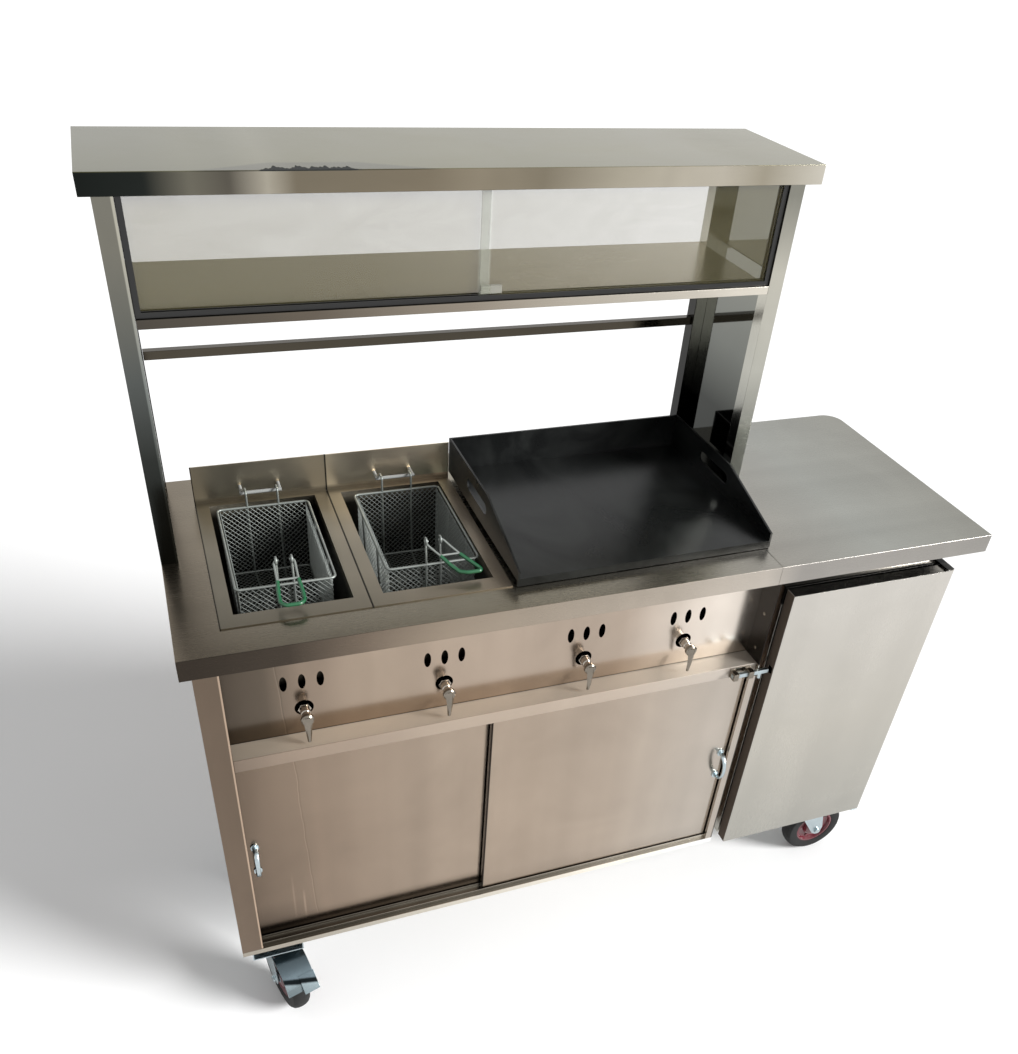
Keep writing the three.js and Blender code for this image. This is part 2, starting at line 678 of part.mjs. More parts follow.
// The cabinet with its door of two skins, the seal behind the door and the brackets that hold it.
function makeCabinet() {
  const x = [cabinetLeft, cabinetRight];
  part('cabinet_shell', cabinetShell(), 'brushed');

  const pinX = cabinetRight - hingePinInset;
  const pinY = cabinetDoorBack - doorThickness / 2;
  const doorZ = [cabinetBottom, cabinetDoorTop];
  const pinHoles = [
    rod([pinX, pinY, doorZ[0] - overrun], [pinX, pinY, doorZ[0] + hingePinLength + seat],
      hingePinRadius + seat, smallSides),
    rod([pinX, pinY, doorZ[1] - hingePinLength - seat], [pinX, pinY, doorZ[1] + overrun],
      hingePinRadius + seat, smallSides),
  ];
  const boltHole = block([cabinetLeft - overrun, cabinetLeft + latchTravel - boltRest + sheet],
    [boltY - boltDepth / 2 - latchHoleGap, boltY + boltDepth / 2 + latchHoleGap],
    [boltZ - boltWidth / 2 - latchHoleGap, boltZ + boltWidth / 2 + latchHoleGap]);
  const door = block(x, [cabinetDoorFront, cabinetDoorBack], doorZ);
  const hollow = block([x[0] + sheet, x[1] - sheet], [cabinetDoorFront + sheet, cabinetDoorBack - sheet],
    [doorZ[0] + sheet, doorZ[1] - sheet]);
  part('cabinet_door', cut(door, hollow, pinHoles, boltHole), 'brushed');

  const sealX = [cabinetLeft + hingePinInset, cabinetRight - hingePinInset];
  const sealZ = [cabinetBottom + hingePinInset, cabinetDoorTop - hingePinInset];
  const sealY = [cabinetDoorBack, cabinetFront - seat];
  const gasket = cut(
    block(sealX, sealY, sealZ),
    block([sealX[0] + gasketWidth, sealX[1] - gasketWidth], [sealY[0] - overrun, sealY[1] + overrun],
      [sealZ[0] + gasketWidth, sealZ[1] - gasketWidth]));
  part('door_gasket', gasket, 'rubber');

  const bracket = (plateZ, pinZ, faceZ) => joined(
    block([cabinetRight - bracketWidth, cabinetRight], [cabinetDoorFront, cabinetFront - seat], plateZ),
    rod([pinX, pinY, pinZ[0]], [pinX, pinY, pinZ[1]], hingePinRadius, smallSides),
    block([cabinetRight - bracketWidth, cabinetRight], faceZ.y, faceZ.z));
  const topPlate = [cabinetDoorTop + seat, cabinetDoorTop + seat + bracketThickness];
  const topFace = {
    y: [cabinetFront - bracketThickness, cabinetFront + pullRecessDepth - seat],
    z: topPlate,
  };
  part('hinge_bracket_top',
    bracket(topPlate, [cabinetDoorTop - hingePinLength, topPlate[1]], topFace), 'zinc');
  const lowPlate = [cabinetBottom - seat - bracketThickness, cabinetBottom - seat];
  const lowFace = { y: [cabinetFront - bracketThickness, cabinetFront + bracketWidth], z: lowPlate };
  part('hinge_bracket_bottom',
    bracket(lowPlate, [lowPlate[0], cabinetBottom + hingePinLength], lowFace), 'zinc');

  const channel = tubeZ([bodyRight + seat, cabinetLeft - seat],
    [bodyFront + joiningChannelInset, bodyFront + joiningChannelInset + joiningChannelDepth],
    [deckTop, skirtBottom - seat], sheet);
  part('joining_channel', channel, 'brushed');
}

// Latch: a base with two guides on the ledge and a flat bolt that slides into the door's edge.
const latchRight = bodyRight - rightStile;
const boltZ = ledgeHeight - ledgeFace / 2;
const boltY = bodyFront - seat - boltDepth / 2 - seat;

function makeLatch() {
  const left = latchRight - latchLength;
  const plateY = [ledgeFront - latchPlate, ledgeFront];
  const outerY = boltY - boltDepth / 2 - seat - latchGuide;
  const base = block([left, latchRight], plateY, [boltZ - latchHeight / 2, boltZ + latchHeight / 2]);
  const guides = [left, latchRight - latchKnob].map((x) => block(
    [x, x + latchKnob], [outerY, plateY[1]],
    [boltZ - boltWidth / 2 - latchGuide, boltZ + boltWidth / 2 + latchGuide]));
  const way = block([left - overrun, latchRight + overrun],
    [boltY - boltDepth / 2 - seat, boltY + boltDepth / 2 + seat],
    [boltZ - boltWidth / 2 - seat, boltZ + boltWidth / 2 + seat]);
  part('latch_base', cut(joined(base, guides), way), 'zinc');

  const knobX = cabinetLeft - latchTravel - 2 * latchGuide;
  const bolt = joined(
    block([left, cabinetLeft - boltRest], [boltY - boltDepth / 2, boltY + boltDepth / 2],
      [boltZ - boltWidth / 2, boltZ + boltWidth / 2]),
    rod([knobX, boltY, boltZ], [knobX, boltY, boltZ - boltWidth / 2 - latchKnob], latchGuide, smallSides));
  part('latch_bolt', bolt, 'zinc');
}

// Upper frame: two end frames of square tube with a polished panel let in between the posts.
function makeUpperFrame() {
  const ends = [['left', 0, 1], ['right', upperLength, -1]];
  const postTop = canopyUnder - seat;
  for (const [side, outerX, inward] of ends) {
    const postX = [outerX, outerX + inward * postSize].sort((a, b) => a - b);
    const fronts = [upperFront, upperBack - postSize];
    const posts = fronts.map((y) => tubeZ(postX, [y, y + postSize], [worktopHeight, postTop], postWall));
    const rail = block(postX, [upperFront + postSize, upperBack - postSize], [postTop - postSize, postTop]);
    part(`${side}_end_frame`, joined(posts, rail), 'brushed');
    const panelX = [outerX + inward * sheet, outerX + inward * 2 * sheet].sort((a, b) => a - b);
    const panel = block(panelX, [upperFront + postSize + seat, upperBack - postSize - seat],
      [worktopHeight, postTop - postSize - seat]);
    part(`${side}_end_panel`, panel, 'polished');
  }

  const canopyX = [-canopyLeftOverhang, upperLength + canopyRightOverhang];
  const canopyY = [upperFront - canopyLip, upperBack + canopyLip];
  const canopy = cut(
    block(canopyX, canopyY, [canopyBottom, canopyTop]),
    block([canopyX[0] + sheet, canopyX[1] - sheet], [canopyY[0] + sheet, canopyY[1] - sheet],
      [canopyBottom - overrun, canopyUnder]));
  part('canopy', canopy, 'polished');

  const between = [postSize + seat, upperLength - postSize - seat];
  const barBack = upperBack - (postSize - crossbarSize) / 2;
  const barZ = worktopHeight + crossbarRise;
  const crossbar = cut(
    block(between, [barBack - crossbarSize, barBack], [barZ, barZ + crossbarSize]),
    block([between[0] - overrun, between[1] + overrun],
      [barBack - crossbarSize + sheet, barBack - sheet], [barZ + sheet, barZ + crossbarSize - sheet]));
  part('rear_crossbar', crossbar, 'polished');

  const shelfBack = upperBack - sheet;
  const shelfLow = shelfTop - shelfEdge;
  const shelf = alongX([
    [upperFront, shelfTop], [upperFront, shelfLow], [upperFront + shelfEdge, shelfLow],
    [upperFront + shelfEdge, shelfLow + sheet], [upperFront + sheet, shelfLow + sheet],
    [upperFront + sheet, shelfTop - sheet], [shelfBack - sheet, shelfTop - sheet],
    [shelfBack - sheet, shelfLow], [shelfBack, shelfLow], [shelfBack, shelfTop]], between);
  part('display_shelf', shelf, 'polished');
}

// Glass: two panes on neighbouring grooves, in a frame with side channels.
const glassY = upperFront + glassSetback;
const glassPitch = glassThickness + 2 * glassGap + glassFin;

function paneY(index) {
  const front = glassY + glassFin + glassGap + index * glassPitch;
  return [front, front + glassThickness];
}

function makeGlass() {
  const frameX = [postSize + seat, upperLength - postSize - seat];
  const fins = [0, 1, 2].map((index) => glassY + index * glassPitch);
  const frameY = [glassY, glassY + 2 * glassPitch + glassFin];
  const trackTop = shelfTop + sheet + glassTrackHeight;
  const topTrackZ = [canopyUnder - seat - glassTopTrack, canopyUnder - seat];
  const groove = (fin) => [fin + glassFin, fin + glassPitch];
  const frameZ = [shelfTop, topTrackZ[0] - seat];
  const grooves = fins.slice(0, 2).map((fin) => block([frameX[0] + sheet, frameX[1] - sheet], groove(fin),
    [shelfTop + sheet, frameZ[1] + overrun]));
  const window = block([frameX[0] + glassSideCover, frameX[1] - glassSideCover],
    [frameY[0] - overrun, frameY[1] + overrun], [trackTop, frameZ[1] + overrun]);
  part('glass_frame', cut(block(frameX, frameY, frameZ), grooves, window), 'blackPlastic');
  const topTrack = comb(frameX, fins, glassFin, frameY[1],
    [topTrackZ[1], topTrackZ[1] - glassTopBase], topTrackZ[0]);
  part('glass_top_track', topTrack, 'blackPlastic');

  const paneZ = [shelfTop + sheet + seat, topTrackZ[1] - glassTopBase - glassTopClearance];
  const paneEnds = [frameX[0] + sheet + seat, frameX[1] - sheet - seat];
  const glassPaneWidth = (paneEnds[1] - paneEnds[0] + glassPaneOverlap) / 2;
  part('left_glass_pane', block([paneEnds[0], paneEnds[0] + glassPaneWidth], paneY(1), paneZ), 'glass');
  part('right_glass_pane', block([paneEnds[1] - glassPaneWidth, paneEnds[1]], paneY(0), paneZ), 'glass');
  const pullX = paneEnds[1] - glassPaneWidth;
  const pullZ = trackTop + seat;
  part('pane_pull', block([pullX, pullX + panePullWidth],
    [paneY(0)[0] - panePullDepth, paneY(0)[0]], [pullZ, pullZ + panePullHeight]), 'clearPlastic');
}

const basketFront = fryerFront + tankFrontMargin + basketFrontInset;
const rackZ = worktopHeight + rackRise;

function basketX(index) {
  return fryerX(index) + fryerWidth / 2 + basketOffsets[index];
}

// Fryers: a tank hanging by its flange, with a splash plate behind it that carries a basket rack.
function makeFryers() {
  ['left', 'right'].forEach((side, index) => {
    const x0 = fryerX(index);
    const [tankX, tankY] = tankRange(index);
    const flangeTop = worktopHeight + sheet;
    const flangeBack = fryerFront + fryerFlangeDepth;
    const outer = joined(
      block([x0, x0 + fryerWidth], [fryerFront, flangeBack], [worktopHeight, flangeTop]),
      block([x0, x0 + fryerWidth], [flangeBack - sheet, flangeBack],
        [worktopHeight, worktopHeight + backsplashHeight]),
      block([tankX[0] - sheet, tankX[1] + sheet], [tankY[0] - sheet, tankY[1] + sheet],
        [tankFloor - sheet, flangeTop]));
    const inner = block(tankX, tankY, [tankFloor, flangeTop + overrun]);
    const rackY = flangeBack - rackReach;
    const pegs = [-1, 1].map((end) => basketX(index) + end * rackWidth / 2);
    const bar = [[pegs[0] - rackRadius, rackY, rackZ], [pegs[1] + rackRadius, rackY, rackZ]];
    const rack = [
      ...pegs.map((x) => rod([x, rackY, rackZ], [x, flangeBack - sheet / 2, rackZ], rackRadius, smallSides)),
      rod(...bar, rackRadius, smallSides)];
    part(`${side}_fryer_tank`, cut(joined(outer, rack), inner), 'brushed');
  });
}

// Gaps of the basket mesh on a wall that spans two axes.
function meshGaps(from, to, count) {
  const step = (to - from) / count;
  return Array.from({ length: count }, (_, i) => [
    from + i * step + (i ? basketWire / 2 : 0),
    from + (i + 1) * step - (i < count - 1 ? basketWire / 2 : 0),
  ]);
}

function basketShape() {
  const x = [-basketWidth / 2, basketWidth / 2];
  const y = [0, basketLength];
  const z = [basketBottom, basketRimTop];
  const inset = basketTaper;
  const bodyX = [x[0] + inset, x[1] - inset];
  const bodyY = [y[0] + inset, y[1] - inset];
  const hollow = block([bodyX[0] + basketWire, bodyX[1] - basketWire],
    [bodyY[0] + basketWire, bodyY[1] - basketWire], [z[0] + basketWire, z[1] + overrun]);
  const walls = cut(block(bodyX, bodyY, [z[0], z[1] - basketRim / 2]), hollow);
  const rim = cut(
    block(x, y, [z[1] - basketRim, z[1]]),
    block([bodyX[0] + basketWire, bodyX[1] - basketWire],
      [bodyY[0] + basketWire, bodyY[1] - basketWire], [z[1] - 2 * basketRim, z[1] + overrun]));
  const columns = Math.round(basketWidth / basketPitch);
  const rows = Math.round(basketHeight / basketPitch);
  const lengths = Math.round(basketLength / basketPitch);
  const edge = basketRim;
  const gapsX = meshGaps(bodyX[0] + edge, bodyX[1] - edge, columns);
  const gapsY = meshGaps(bodyY[0] + edge, bodyY[1] - edge, lengths);
  const gapsZ = meshGaps(z[0] + edge, z[1] - basketRim - edge, rows);
  const reachX = [x[0] - overrun, x[1] + overrun];
  const reachY = [y[0] - overrun, y[1] + overrun];
  const throughEnds = gapsX.flatMap((gx) => gapsZ.map((gz) => block(gx, reachY, gz)));
  const throughSides = gapsY.flatMap((gy) => gapsZ.map((gz) => block(reachX, gy, gz)));
  const reachZ = [z[0] - overrun, z[0] + 2 * basketWire];
  const throughFloor = gapsX.flatMap((gx) => gapsY.map((gy) => block(gx, gy, reachZ)));
  const gaps = joined(throughEnds[0], throughEnds.slice(1), throughSides, throughFloor);
  const skidTop = z[0] + basketWire / 2;
  const skids = [bodyY[0] + basketPitch, bodyY[1] - basketPitch].map((sy) => block(
    [bodyX[0], bodyX[1]], [sy - basketWire, sy + basketWire], [tankFloor + seat, skidTop]));
  const rackY = fryerFront + fryerFlangeDepth - rackReach - basketFront;
  const hookUnder = rackZ + rackRadius + hookPlay;
  const hookBack = rackY + rackRadius + hookPlay;
  const hookOutline = [
    [y[1] - basketRim, z[1] - basketRim], [y[1], z[1] - basketRim], [y[1], hookUnder], [hookBack, hookUnder],
    [hookBack, rackZ - rackRadius], [hookBack + hookThickness, rackZ - rackRadius],
    [hookBack + hookThickness, hookUnder + hookThickness], [y[1] - basketRim, hookUnder + hookThickness]];
  const hooks = [-1, 1].map((side) => alongX(hookOutline,
    [side * hookSpread / 2 - hookThickness / 2, side * hookSpread / 2 + hookThickness / 2]));
  const eyes = [-1, 1].map((side) => {
    const ex = side * gripSpread / 2;
    const post = block([ex - gripWire / 2, ex + gripWire / 2], [y[0], y[0] + basketRim],
      [z[1] - basketRim, z[1] + gripRise - gripRingRadius]);
    const centre = [y[0] + basketRim / 2, z[1] + gripRise];
    const ring = cut(
      rod([ex - gripWire / 2, ...centre], [ex + gripWire / 2, ...centre],
        gripRingRadius + gripWire / 2, smallSides),
      rod([ex - gripWire, ...centre], [ex + gripWire, ...centre], gripWire / 2 + eyePlay, smallSides));
    return joined(post, ring);
  });
  return joined(cut(walls, gaps), rim, skids, hooks, eyes);
}

// The folding grip: one wire whose ends turn in through the eyes, bent to a loop for the sleeve.
function gripShape(turn) {
  const outside = gripSpread / 2 + 2 * gripWire;
  const inside = gripSpread / 2 - gripWire;
  const tipX = Math.sin(turn) * gripReach;
  const tipY = -Math.cos(turn) * gripReach;
  const half = gripEnd / 2;
  const clearOfEye = -2 * (gripRingRadius + gripWire / 2);
  const side = (sign) => [
    [sign * inside, 0, 0],
    [sign * outside, 0, 0],
    [sign * outside, clearOfEye, -gripDrop * 0.3],
    [sign * half + tipX * 0.5, tipY * 0.5, -gripDrop * 0.6],
    [sign * half + tipX, tipY * 0.9, -gripDrop * 0.95],
    [sign * half * 0.45 + tipX, tipY, -gripDrop]];
  return wire([...side(-1), ...side(1).reverse()], gripWire / 2, gripSteps);
}

function makeBaskets() {
  ['left', 'right'].forEach((side, index) => {
    part(`${side}_basket`, basketShape(), 'wire', cart, [basketX(index), basketFront, 0]);
    part(`${side}_basket_grip`, gripShape(index * gripTurn), 'greenSleeve', cart,
      [basketX(index), basketFront + basketRim / 2, basketRimTop + gripRise]);
  });
}

// Griddle: a folded black plate with a back guard and two sloping side guards, on four feet.
function makeGriddle() {
  const half = griddleWidth / 2;
  const deep = griddleDepth / 2;
  const plateZ = [griddleFoot, griddleFoot + griddlePlate];
  const guardTop = plateZ[1] + griddleGuard;
  const x = [-half, half];
  const folded = cut(
    block(x, [-deep, deep], [plateZ[1] - griddleLip, guardTop]),
    block([-half + griddleWall, half - griddleWall], [-deep - overrun, deep - griddleWall],
      [plateZ[1], guardTop + overrun]),
    block([-half - overrun, half + overrun], [-deep + griddleWall, deep + overrun],
      [plateZ[1] - griddleLip - overrun, plateZ[0]]),
    alongX([
      [-deep - overrun, plateZ[1] + griddleGuardFront], [-deep, plateZ[1] + griddleGuardFront],
      [-deep + griddleGuardKnee, guardTop], [-deep + griddleGuardKnee, guardTop + overrun],
      [-deep - overrun, guardTop + overrun]], [-half - overrun, half + overrun]));
  const slotZ = guardTop - griddleSlotDrop;
  const slotCentre = -deep + griddleGuardKnee + griddleSlotLength / 2;
  const radius = griddleSlotHeight / 2;
  const straight = griddleSlotLength / 2 - radius;
  const slotHole = joined(
    block([-half - overrun, half + overrun], [slotCentre - straight, slotCentre + straight],
      [slotZ - radius, slotZ + radius]),
    [-1, 1].map((end) => rod([-half - overrun, slotCentre + end * straight, slotZ],
      [half + overrun, slotCentre + end * straight, slotZ], radius, smallSides)));
  const feet = [-1, 1].flatMap((ex) => [-1, 1].map((ey) => {
    const fx = ex * (half - griddleFootInset);
    const fy = ey * (deep - griddleFootInset);
    return rod([fx, fy, seat], [fx, fy, plateZ[0] + griddlePlate / 2], griddleFootRadius, smallSides);
  }));
  const griddle = part('griddle_plate', cut(joined(folded, feet), slotHole), 'castIron');
  griddle.position.set(griddleLeft + half, griddleFront + deep, worktopHeight);
  griddle.rotation.z = griddleTurn;
}

// Casters: base tubes with welded top plates, swivelling forks and rubber-tyred wheels.
function baseTube(centreX, y, z, casterYs) {
  const x = [centreX - baseTubeWidth / 2, centreX + baseTubeWidth / 2];
  const tube = cut(block(x, y, z),
    block([x[0] + baseTubeWall, x[1] - baseTubeWall], [y[0] - overrun, y[1] + overrun],
      [z[0] + baseTubeWall, z[1] - baseTubeWall]));
  const plates = casterYs.map((cy) => block(
    [centreX - plateLength / 2, centreX + plateLength / 2], [cy - plateWidth / 2, cy + plateWidth / 2],
    [z[0] - plateThickness, z[0]]));
  const bolts = casterYs.flatMap((cy) => [-1, 1].flatMap((ex) => [-1, 1].map((ey) => {
    const bx = centreX + ex * (plateLength / 2 - 2 * boltHeadRadius);
    const by = cy + ey * (plateWidth / 2 - 2 * boltHeadRadius);
    return rod([bx, by, z[0] - plateThickness - boltHeadHeight], [bx, by, z[0]], boltHeadRadius, wireSides);
  })));
  return joined(tube, plates, bolts);
}

const legX = wheelWidth / 2 + legGap;
const forkX = legX + legThickness;
const crownTop = casterHeight - plateThickness - bearingHeight;
const wheelRadius = wheelDiameter / 2;
const brakePin = [-brakePinSetback, crownTop - brakePinDrop];

function forkShape(hasBrake) {
  const leg = [
    [bearingRadius * 0.9, crownTop], [-bearingRadius * 1.15, crownTop],
    [-casterTrail - 2 * axleRadius, wheelRadius + axleRadius],
    [-casterTrail - 1.6 * axleRadius, wheelRadius - axleRadius],
    [-casterTrail, wheelRadius - 2 * axleRadius], [-casterTrail + 1.6 * axleRadius, wheelRadius - axleRadius],
    [bearingRadius * 0.7, crownTop - bearingRadius]];
  const legs = [-1, 1].map((side) => alongX(leg, [side * legX, side * forkX].sort((a, b) => a - b)));
  const crown = block([-forkX, forkX], [-bearingRadius * 1.1, bearingRadius * 0.85],
    [crownTop - plateThickness, crownTop]);
  const bearing = rod([0, 0, crownTop - plateThickness / 2],
    [0, 0, crownTop + bearingHeight - seat], bearingRadius);
  const across = forkX + boltHeadHeight;
  const pinThrough = ([y, z], radius) => rod([-across, y, z], [across, y, z], radius, smallSides);
  const axle = pinThrough([-casterTrail, wheelRadius], axleRadius);
  const brakePins = hasBrake ? [pinThrough(brakePin, brakePinRadius)] : [];
  return joined(legs, crown, bearing, axle, brakePins);
}

// The brake: a curved hood over the tyre that swings on a pin, with ears outside the fork and a pedal.
function brakeShape() {
  const at = (radius, angle) => [
    -casterTrail - radius * Math.sin(angle), wheelRadius + radius * Math.cos(angle)];
  const inner = wheelRadius + brakeGap;
  const outer = inner + brakeThickness;
  const earX = [forkX + seat, forkX + seat + brakeThickness];
  const steps = 2 * arcSteps;
  const angles = Array.from({ length: steps + 1 }, (_, i) => brakeFrom + (brakeTo - brakeFrom) * i / steps);
  const hood = alongX(
    [...angles.map((angle) => at(outer, angle)), ...angles.reverse().map((angle) => at(inner, angle))],
    [-earX[1], earX[1]]);
  const [rootY, rootZ] = at(inner + seat, pedalFrom);
  const run = [-Math.cos(brakePedalTurn), -Math.sin(brakePedalTurn)];
  const rise = [-Math.sin(brakePedalTurn), Math.cos(brakePedalTurn)];
  const pedalPoint = (length, thickness) => [
    rootY + run[0] * length + rise[0] * thickness, rootZ + run[1] * length + rise[1] * thickness];
  const pedal = alongX([
    pedalPoint(0, 0), pedalPoint(pedalLength, 0), pedalPoint(pedalLength, brakeThickness),
    pedalPoint(0, brakeThickness)], [0, pedalWidth]);
  const earSide = 2 * brakePinRadius;
  const earOutline = [
    [brakePin[0] + earSide, brakePin[1] + earSide], [brakePin[0] + earSide, brakePin[1] - earSide],
    at(inner, (brakeFrom + brakeEarEnd) / 2), at(inner + brakeThickness / 2, brakeEarEnd),
    at(inner + brakeThickness / 2, brakeFrom), [brakePin[0] - earSide, brakePin[1] + earSide]];
  const ears = [-1, 1].map((side) => alongX(earOutline, earX.map((x) => side * x).sort((a, b) => a - b)));
  const pinHole = rod([-2 * forkX, ...brakePin], [2 * forkX, ...brakePin],
    brakePinRadius + seat, smallSides);
  return cut(joined(hood, pedal, ears), pinHole);
}

// Half of the wheel's section: shares of its radius and of half its width, from hub to tread.
const wheelShares = [[0.3, 1], [0.36, 0.5], [0.7, 0.5], [0.78, 0.9], [0.94, 0.85], [1, 0.35]];

function wheelShape() {
  const outer = wheelRadius;
  const half = wheelWidth / 2;
  const bore = axleRadius + seat;
  const side = wheelShares.map(([r, h]) => [outer * r, half * h]);
  const profile = [
    [bore, -half], ...side.map(([r, h]) => [r, -h]), ...side.reverse(), [bore, half], [bore, -half]];
  const geometry = new THREE.LatheGeometry(profile.map(([r, h]) => new THREE.Vector2(r, h)), wheelSides);
  geometry.rotateZ(Math.PI / 2);
  return solidOf(geometry);
}

function makeCasters() {
  const leftX = bodyLeft + leftCasterInset;
  const rightX = cabinetRight - cabinetCasterFromRight;
  const frontY = bodyFront + casterInset;
  const rearY = bodyBack - casterInset;
  const casterPlaces = [
    { name: 'front_left', x: leftX, y: frontY, turn: 0.28, hasBrake: true },
    { name: 'rear_left', x: leftX, y: rearY, turn: 0.35 },
    { name: 'front_right', x: rightX, y: frontY, turn: Math.PI / 2 },
    { name: 'rear_right', x: rightX, y: rearY, turn: 1.3 },
  ];
  part('left_base_tube', baseTube(leftX, [bodyFront + sheet + seat, bodyBack - sheet - seat],
    [casterHeight, deckTop - sheet - seat], [frontY, rearY]), 'zinc');
  part('right_base_tube', baseTube(rightX, [cabinetFront + seat, bodyBack - seat],
    [casterHeight, cabinetBottom - seat], [frontY, rearY]), 'zinc');
  const wheel = wheelShape();
  for (const { name, x, y, turn, hasBrake } of casterPlaces) {
    const swivel = new THREE.Group();
    swivel.position.set(x, y, 0);
    swivel.rotation.z = turn;
    cart.add(swivel);
    part(`${name}_fork`, forkShape(hasBrake), 'zinc', swivel);
    part(`${name}_wheel`, wheel, 'rubber', swivel, [0, -casterTrail, wheelRadius]);
    if (hasBrake) part(`${name}_brake`, brakeShape(), 'zinc', swivel);
  }
}

makeWorktops();
makeMainBody();
makeTrackAndLedge();
makeControlPanel();
makeGasTrain();
makeLevers();
makeSlidingDoors();
makeCabinet();
makeLatch();
makeUpperFrame();
makeGlass();
makeFryers();
makeBaskets();
makeGriddle();
makeCasters();

const bounds = new THREE.Box3().setFromObject(cart, true);
cart.position.set(-(bounds.min.x + bounds.max.x) / 2, -(bounds.min.y + bounds.max.y) / 2, -bounds.min.z);

export default cart;
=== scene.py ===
import json
import math

import bmesh
import bpy
from bpy.props import FloatProperty, FloatVectorProperty, PointerProperty
from mathutils import Matrix, Vector


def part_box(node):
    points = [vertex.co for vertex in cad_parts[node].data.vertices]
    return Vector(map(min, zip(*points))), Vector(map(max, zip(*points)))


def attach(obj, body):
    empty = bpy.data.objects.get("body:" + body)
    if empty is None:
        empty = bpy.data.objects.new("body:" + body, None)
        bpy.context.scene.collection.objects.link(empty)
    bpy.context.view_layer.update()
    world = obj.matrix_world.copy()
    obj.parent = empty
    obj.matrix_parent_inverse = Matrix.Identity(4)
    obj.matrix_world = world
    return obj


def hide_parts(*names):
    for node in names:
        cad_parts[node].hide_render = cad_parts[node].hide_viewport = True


bl_info = {
    "name": "Food cart",
    "version": (1, 0, 0),
    "blender": (4, 5, 0),
    "location": "3D View > Sidebar > Food Cart",
    "description": "Finished surfaces, wire work and small hardware of a steel food cart",
    "category": "Object",
}

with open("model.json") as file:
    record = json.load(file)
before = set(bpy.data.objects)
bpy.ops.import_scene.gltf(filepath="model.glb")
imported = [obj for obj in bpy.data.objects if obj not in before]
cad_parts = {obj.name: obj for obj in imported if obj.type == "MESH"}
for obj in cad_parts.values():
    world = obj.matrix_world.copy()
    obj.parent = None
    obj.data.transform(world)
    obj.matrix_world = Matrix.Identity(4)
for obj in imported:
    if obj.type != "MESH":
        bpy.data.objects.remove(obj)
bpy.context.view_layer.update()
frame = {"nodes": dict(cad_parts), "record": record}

# Directions
RIGHT = Vector((1, 0, 0))
BACK = Vector((0, 1, 0))
UP = Vector((0, 0, 1))
MM = 0.001


# Places taken from the frame

def low(node):
    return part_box(node)[0]


def high(node):
    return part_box(node)[1]


def middle(node):
    return (low(node) + high(node)) / 2


def joint(name):
    """The record's entry of one joint."""
    return next(j for j in frame["record"]["behaviour"]["joints"] if j["name"] == name)


def sizes():
    return bpy.context.scene.food_cart_sizes


def colours():
    return bpy.context.scene.food_cart_colours


# Node trees, and sockets that can be calculated with

class Value:
    """One socket of a tree. An expression on values adds its Math nodes."""

    def __init__(self, owner, socket):
        self.owner = owner
        self.socket = socket

    def __add__(self, other):
        return self.owner.maths("ADD", self, other)

    def __radd__(self, other):
        return self.owner.maths("ADD", other, self)

    def __sub__(self, other):
        return self.owner.maths("SUBTRACT", self, other)

    def __rsub__(self, other):
        return self.owner.maths("SUBTRACT", other, self)

    def __mul__(self, other):
        return self.owner.maths("MULTIPLY", self, other)

    def __rmul__(self, other):
        return self.owner.maths("MULTIPLY", other, self)


class Tree:
    """A node tree being put together."""

    def __init__(self, tree):
        self.tree = tree
        tree.nodes.clear()

    def feed(self, socket, value):
        """Links a value to a socket, or sets a constant on it."""
        if isinstance(value, Value):
            self.tree.links.new(value.socket, socket)
        elif hasattr(socket.default_value, "__len__") and len(socket.default_value) == 4:
            socket.default_value = (*tuple(value)[:3], 1)
        else:
            socket.default_value = value

    def node(self, kind, settings, inputs):
        """A node with its settings made first, then its sockets by name or number."""
        made = self.tree.nodes.new(kind)
        for key, setting in settings.items():
            if key == "stops":
                self.stops(made.color_ramp, setting)
            else:
                setattr(made, key, setting)
        for key, value in inputs.items():
            self.feed(made.inputs[key], value)
        return made

    def value_of(self, kind, settings, inputs):
        """The first output of a new node."""
        return Value(self, self.node(kind, settings, inputs).outputs[0])

    def stops(self, ramp, stops):
        while len(ramp.elements) < len(stops):
            ramp.elements.new(1)
        for element, (place, colour) in zip(ramp.elements, stops):
            element.position = place
            element.color = (*colour[:3], 1)

    def maths(self, operation, first, second):
        return self.value_of("ShaderNodeMath", {"operation": operation}, {0: first, 1: second})


FINISHES = {}


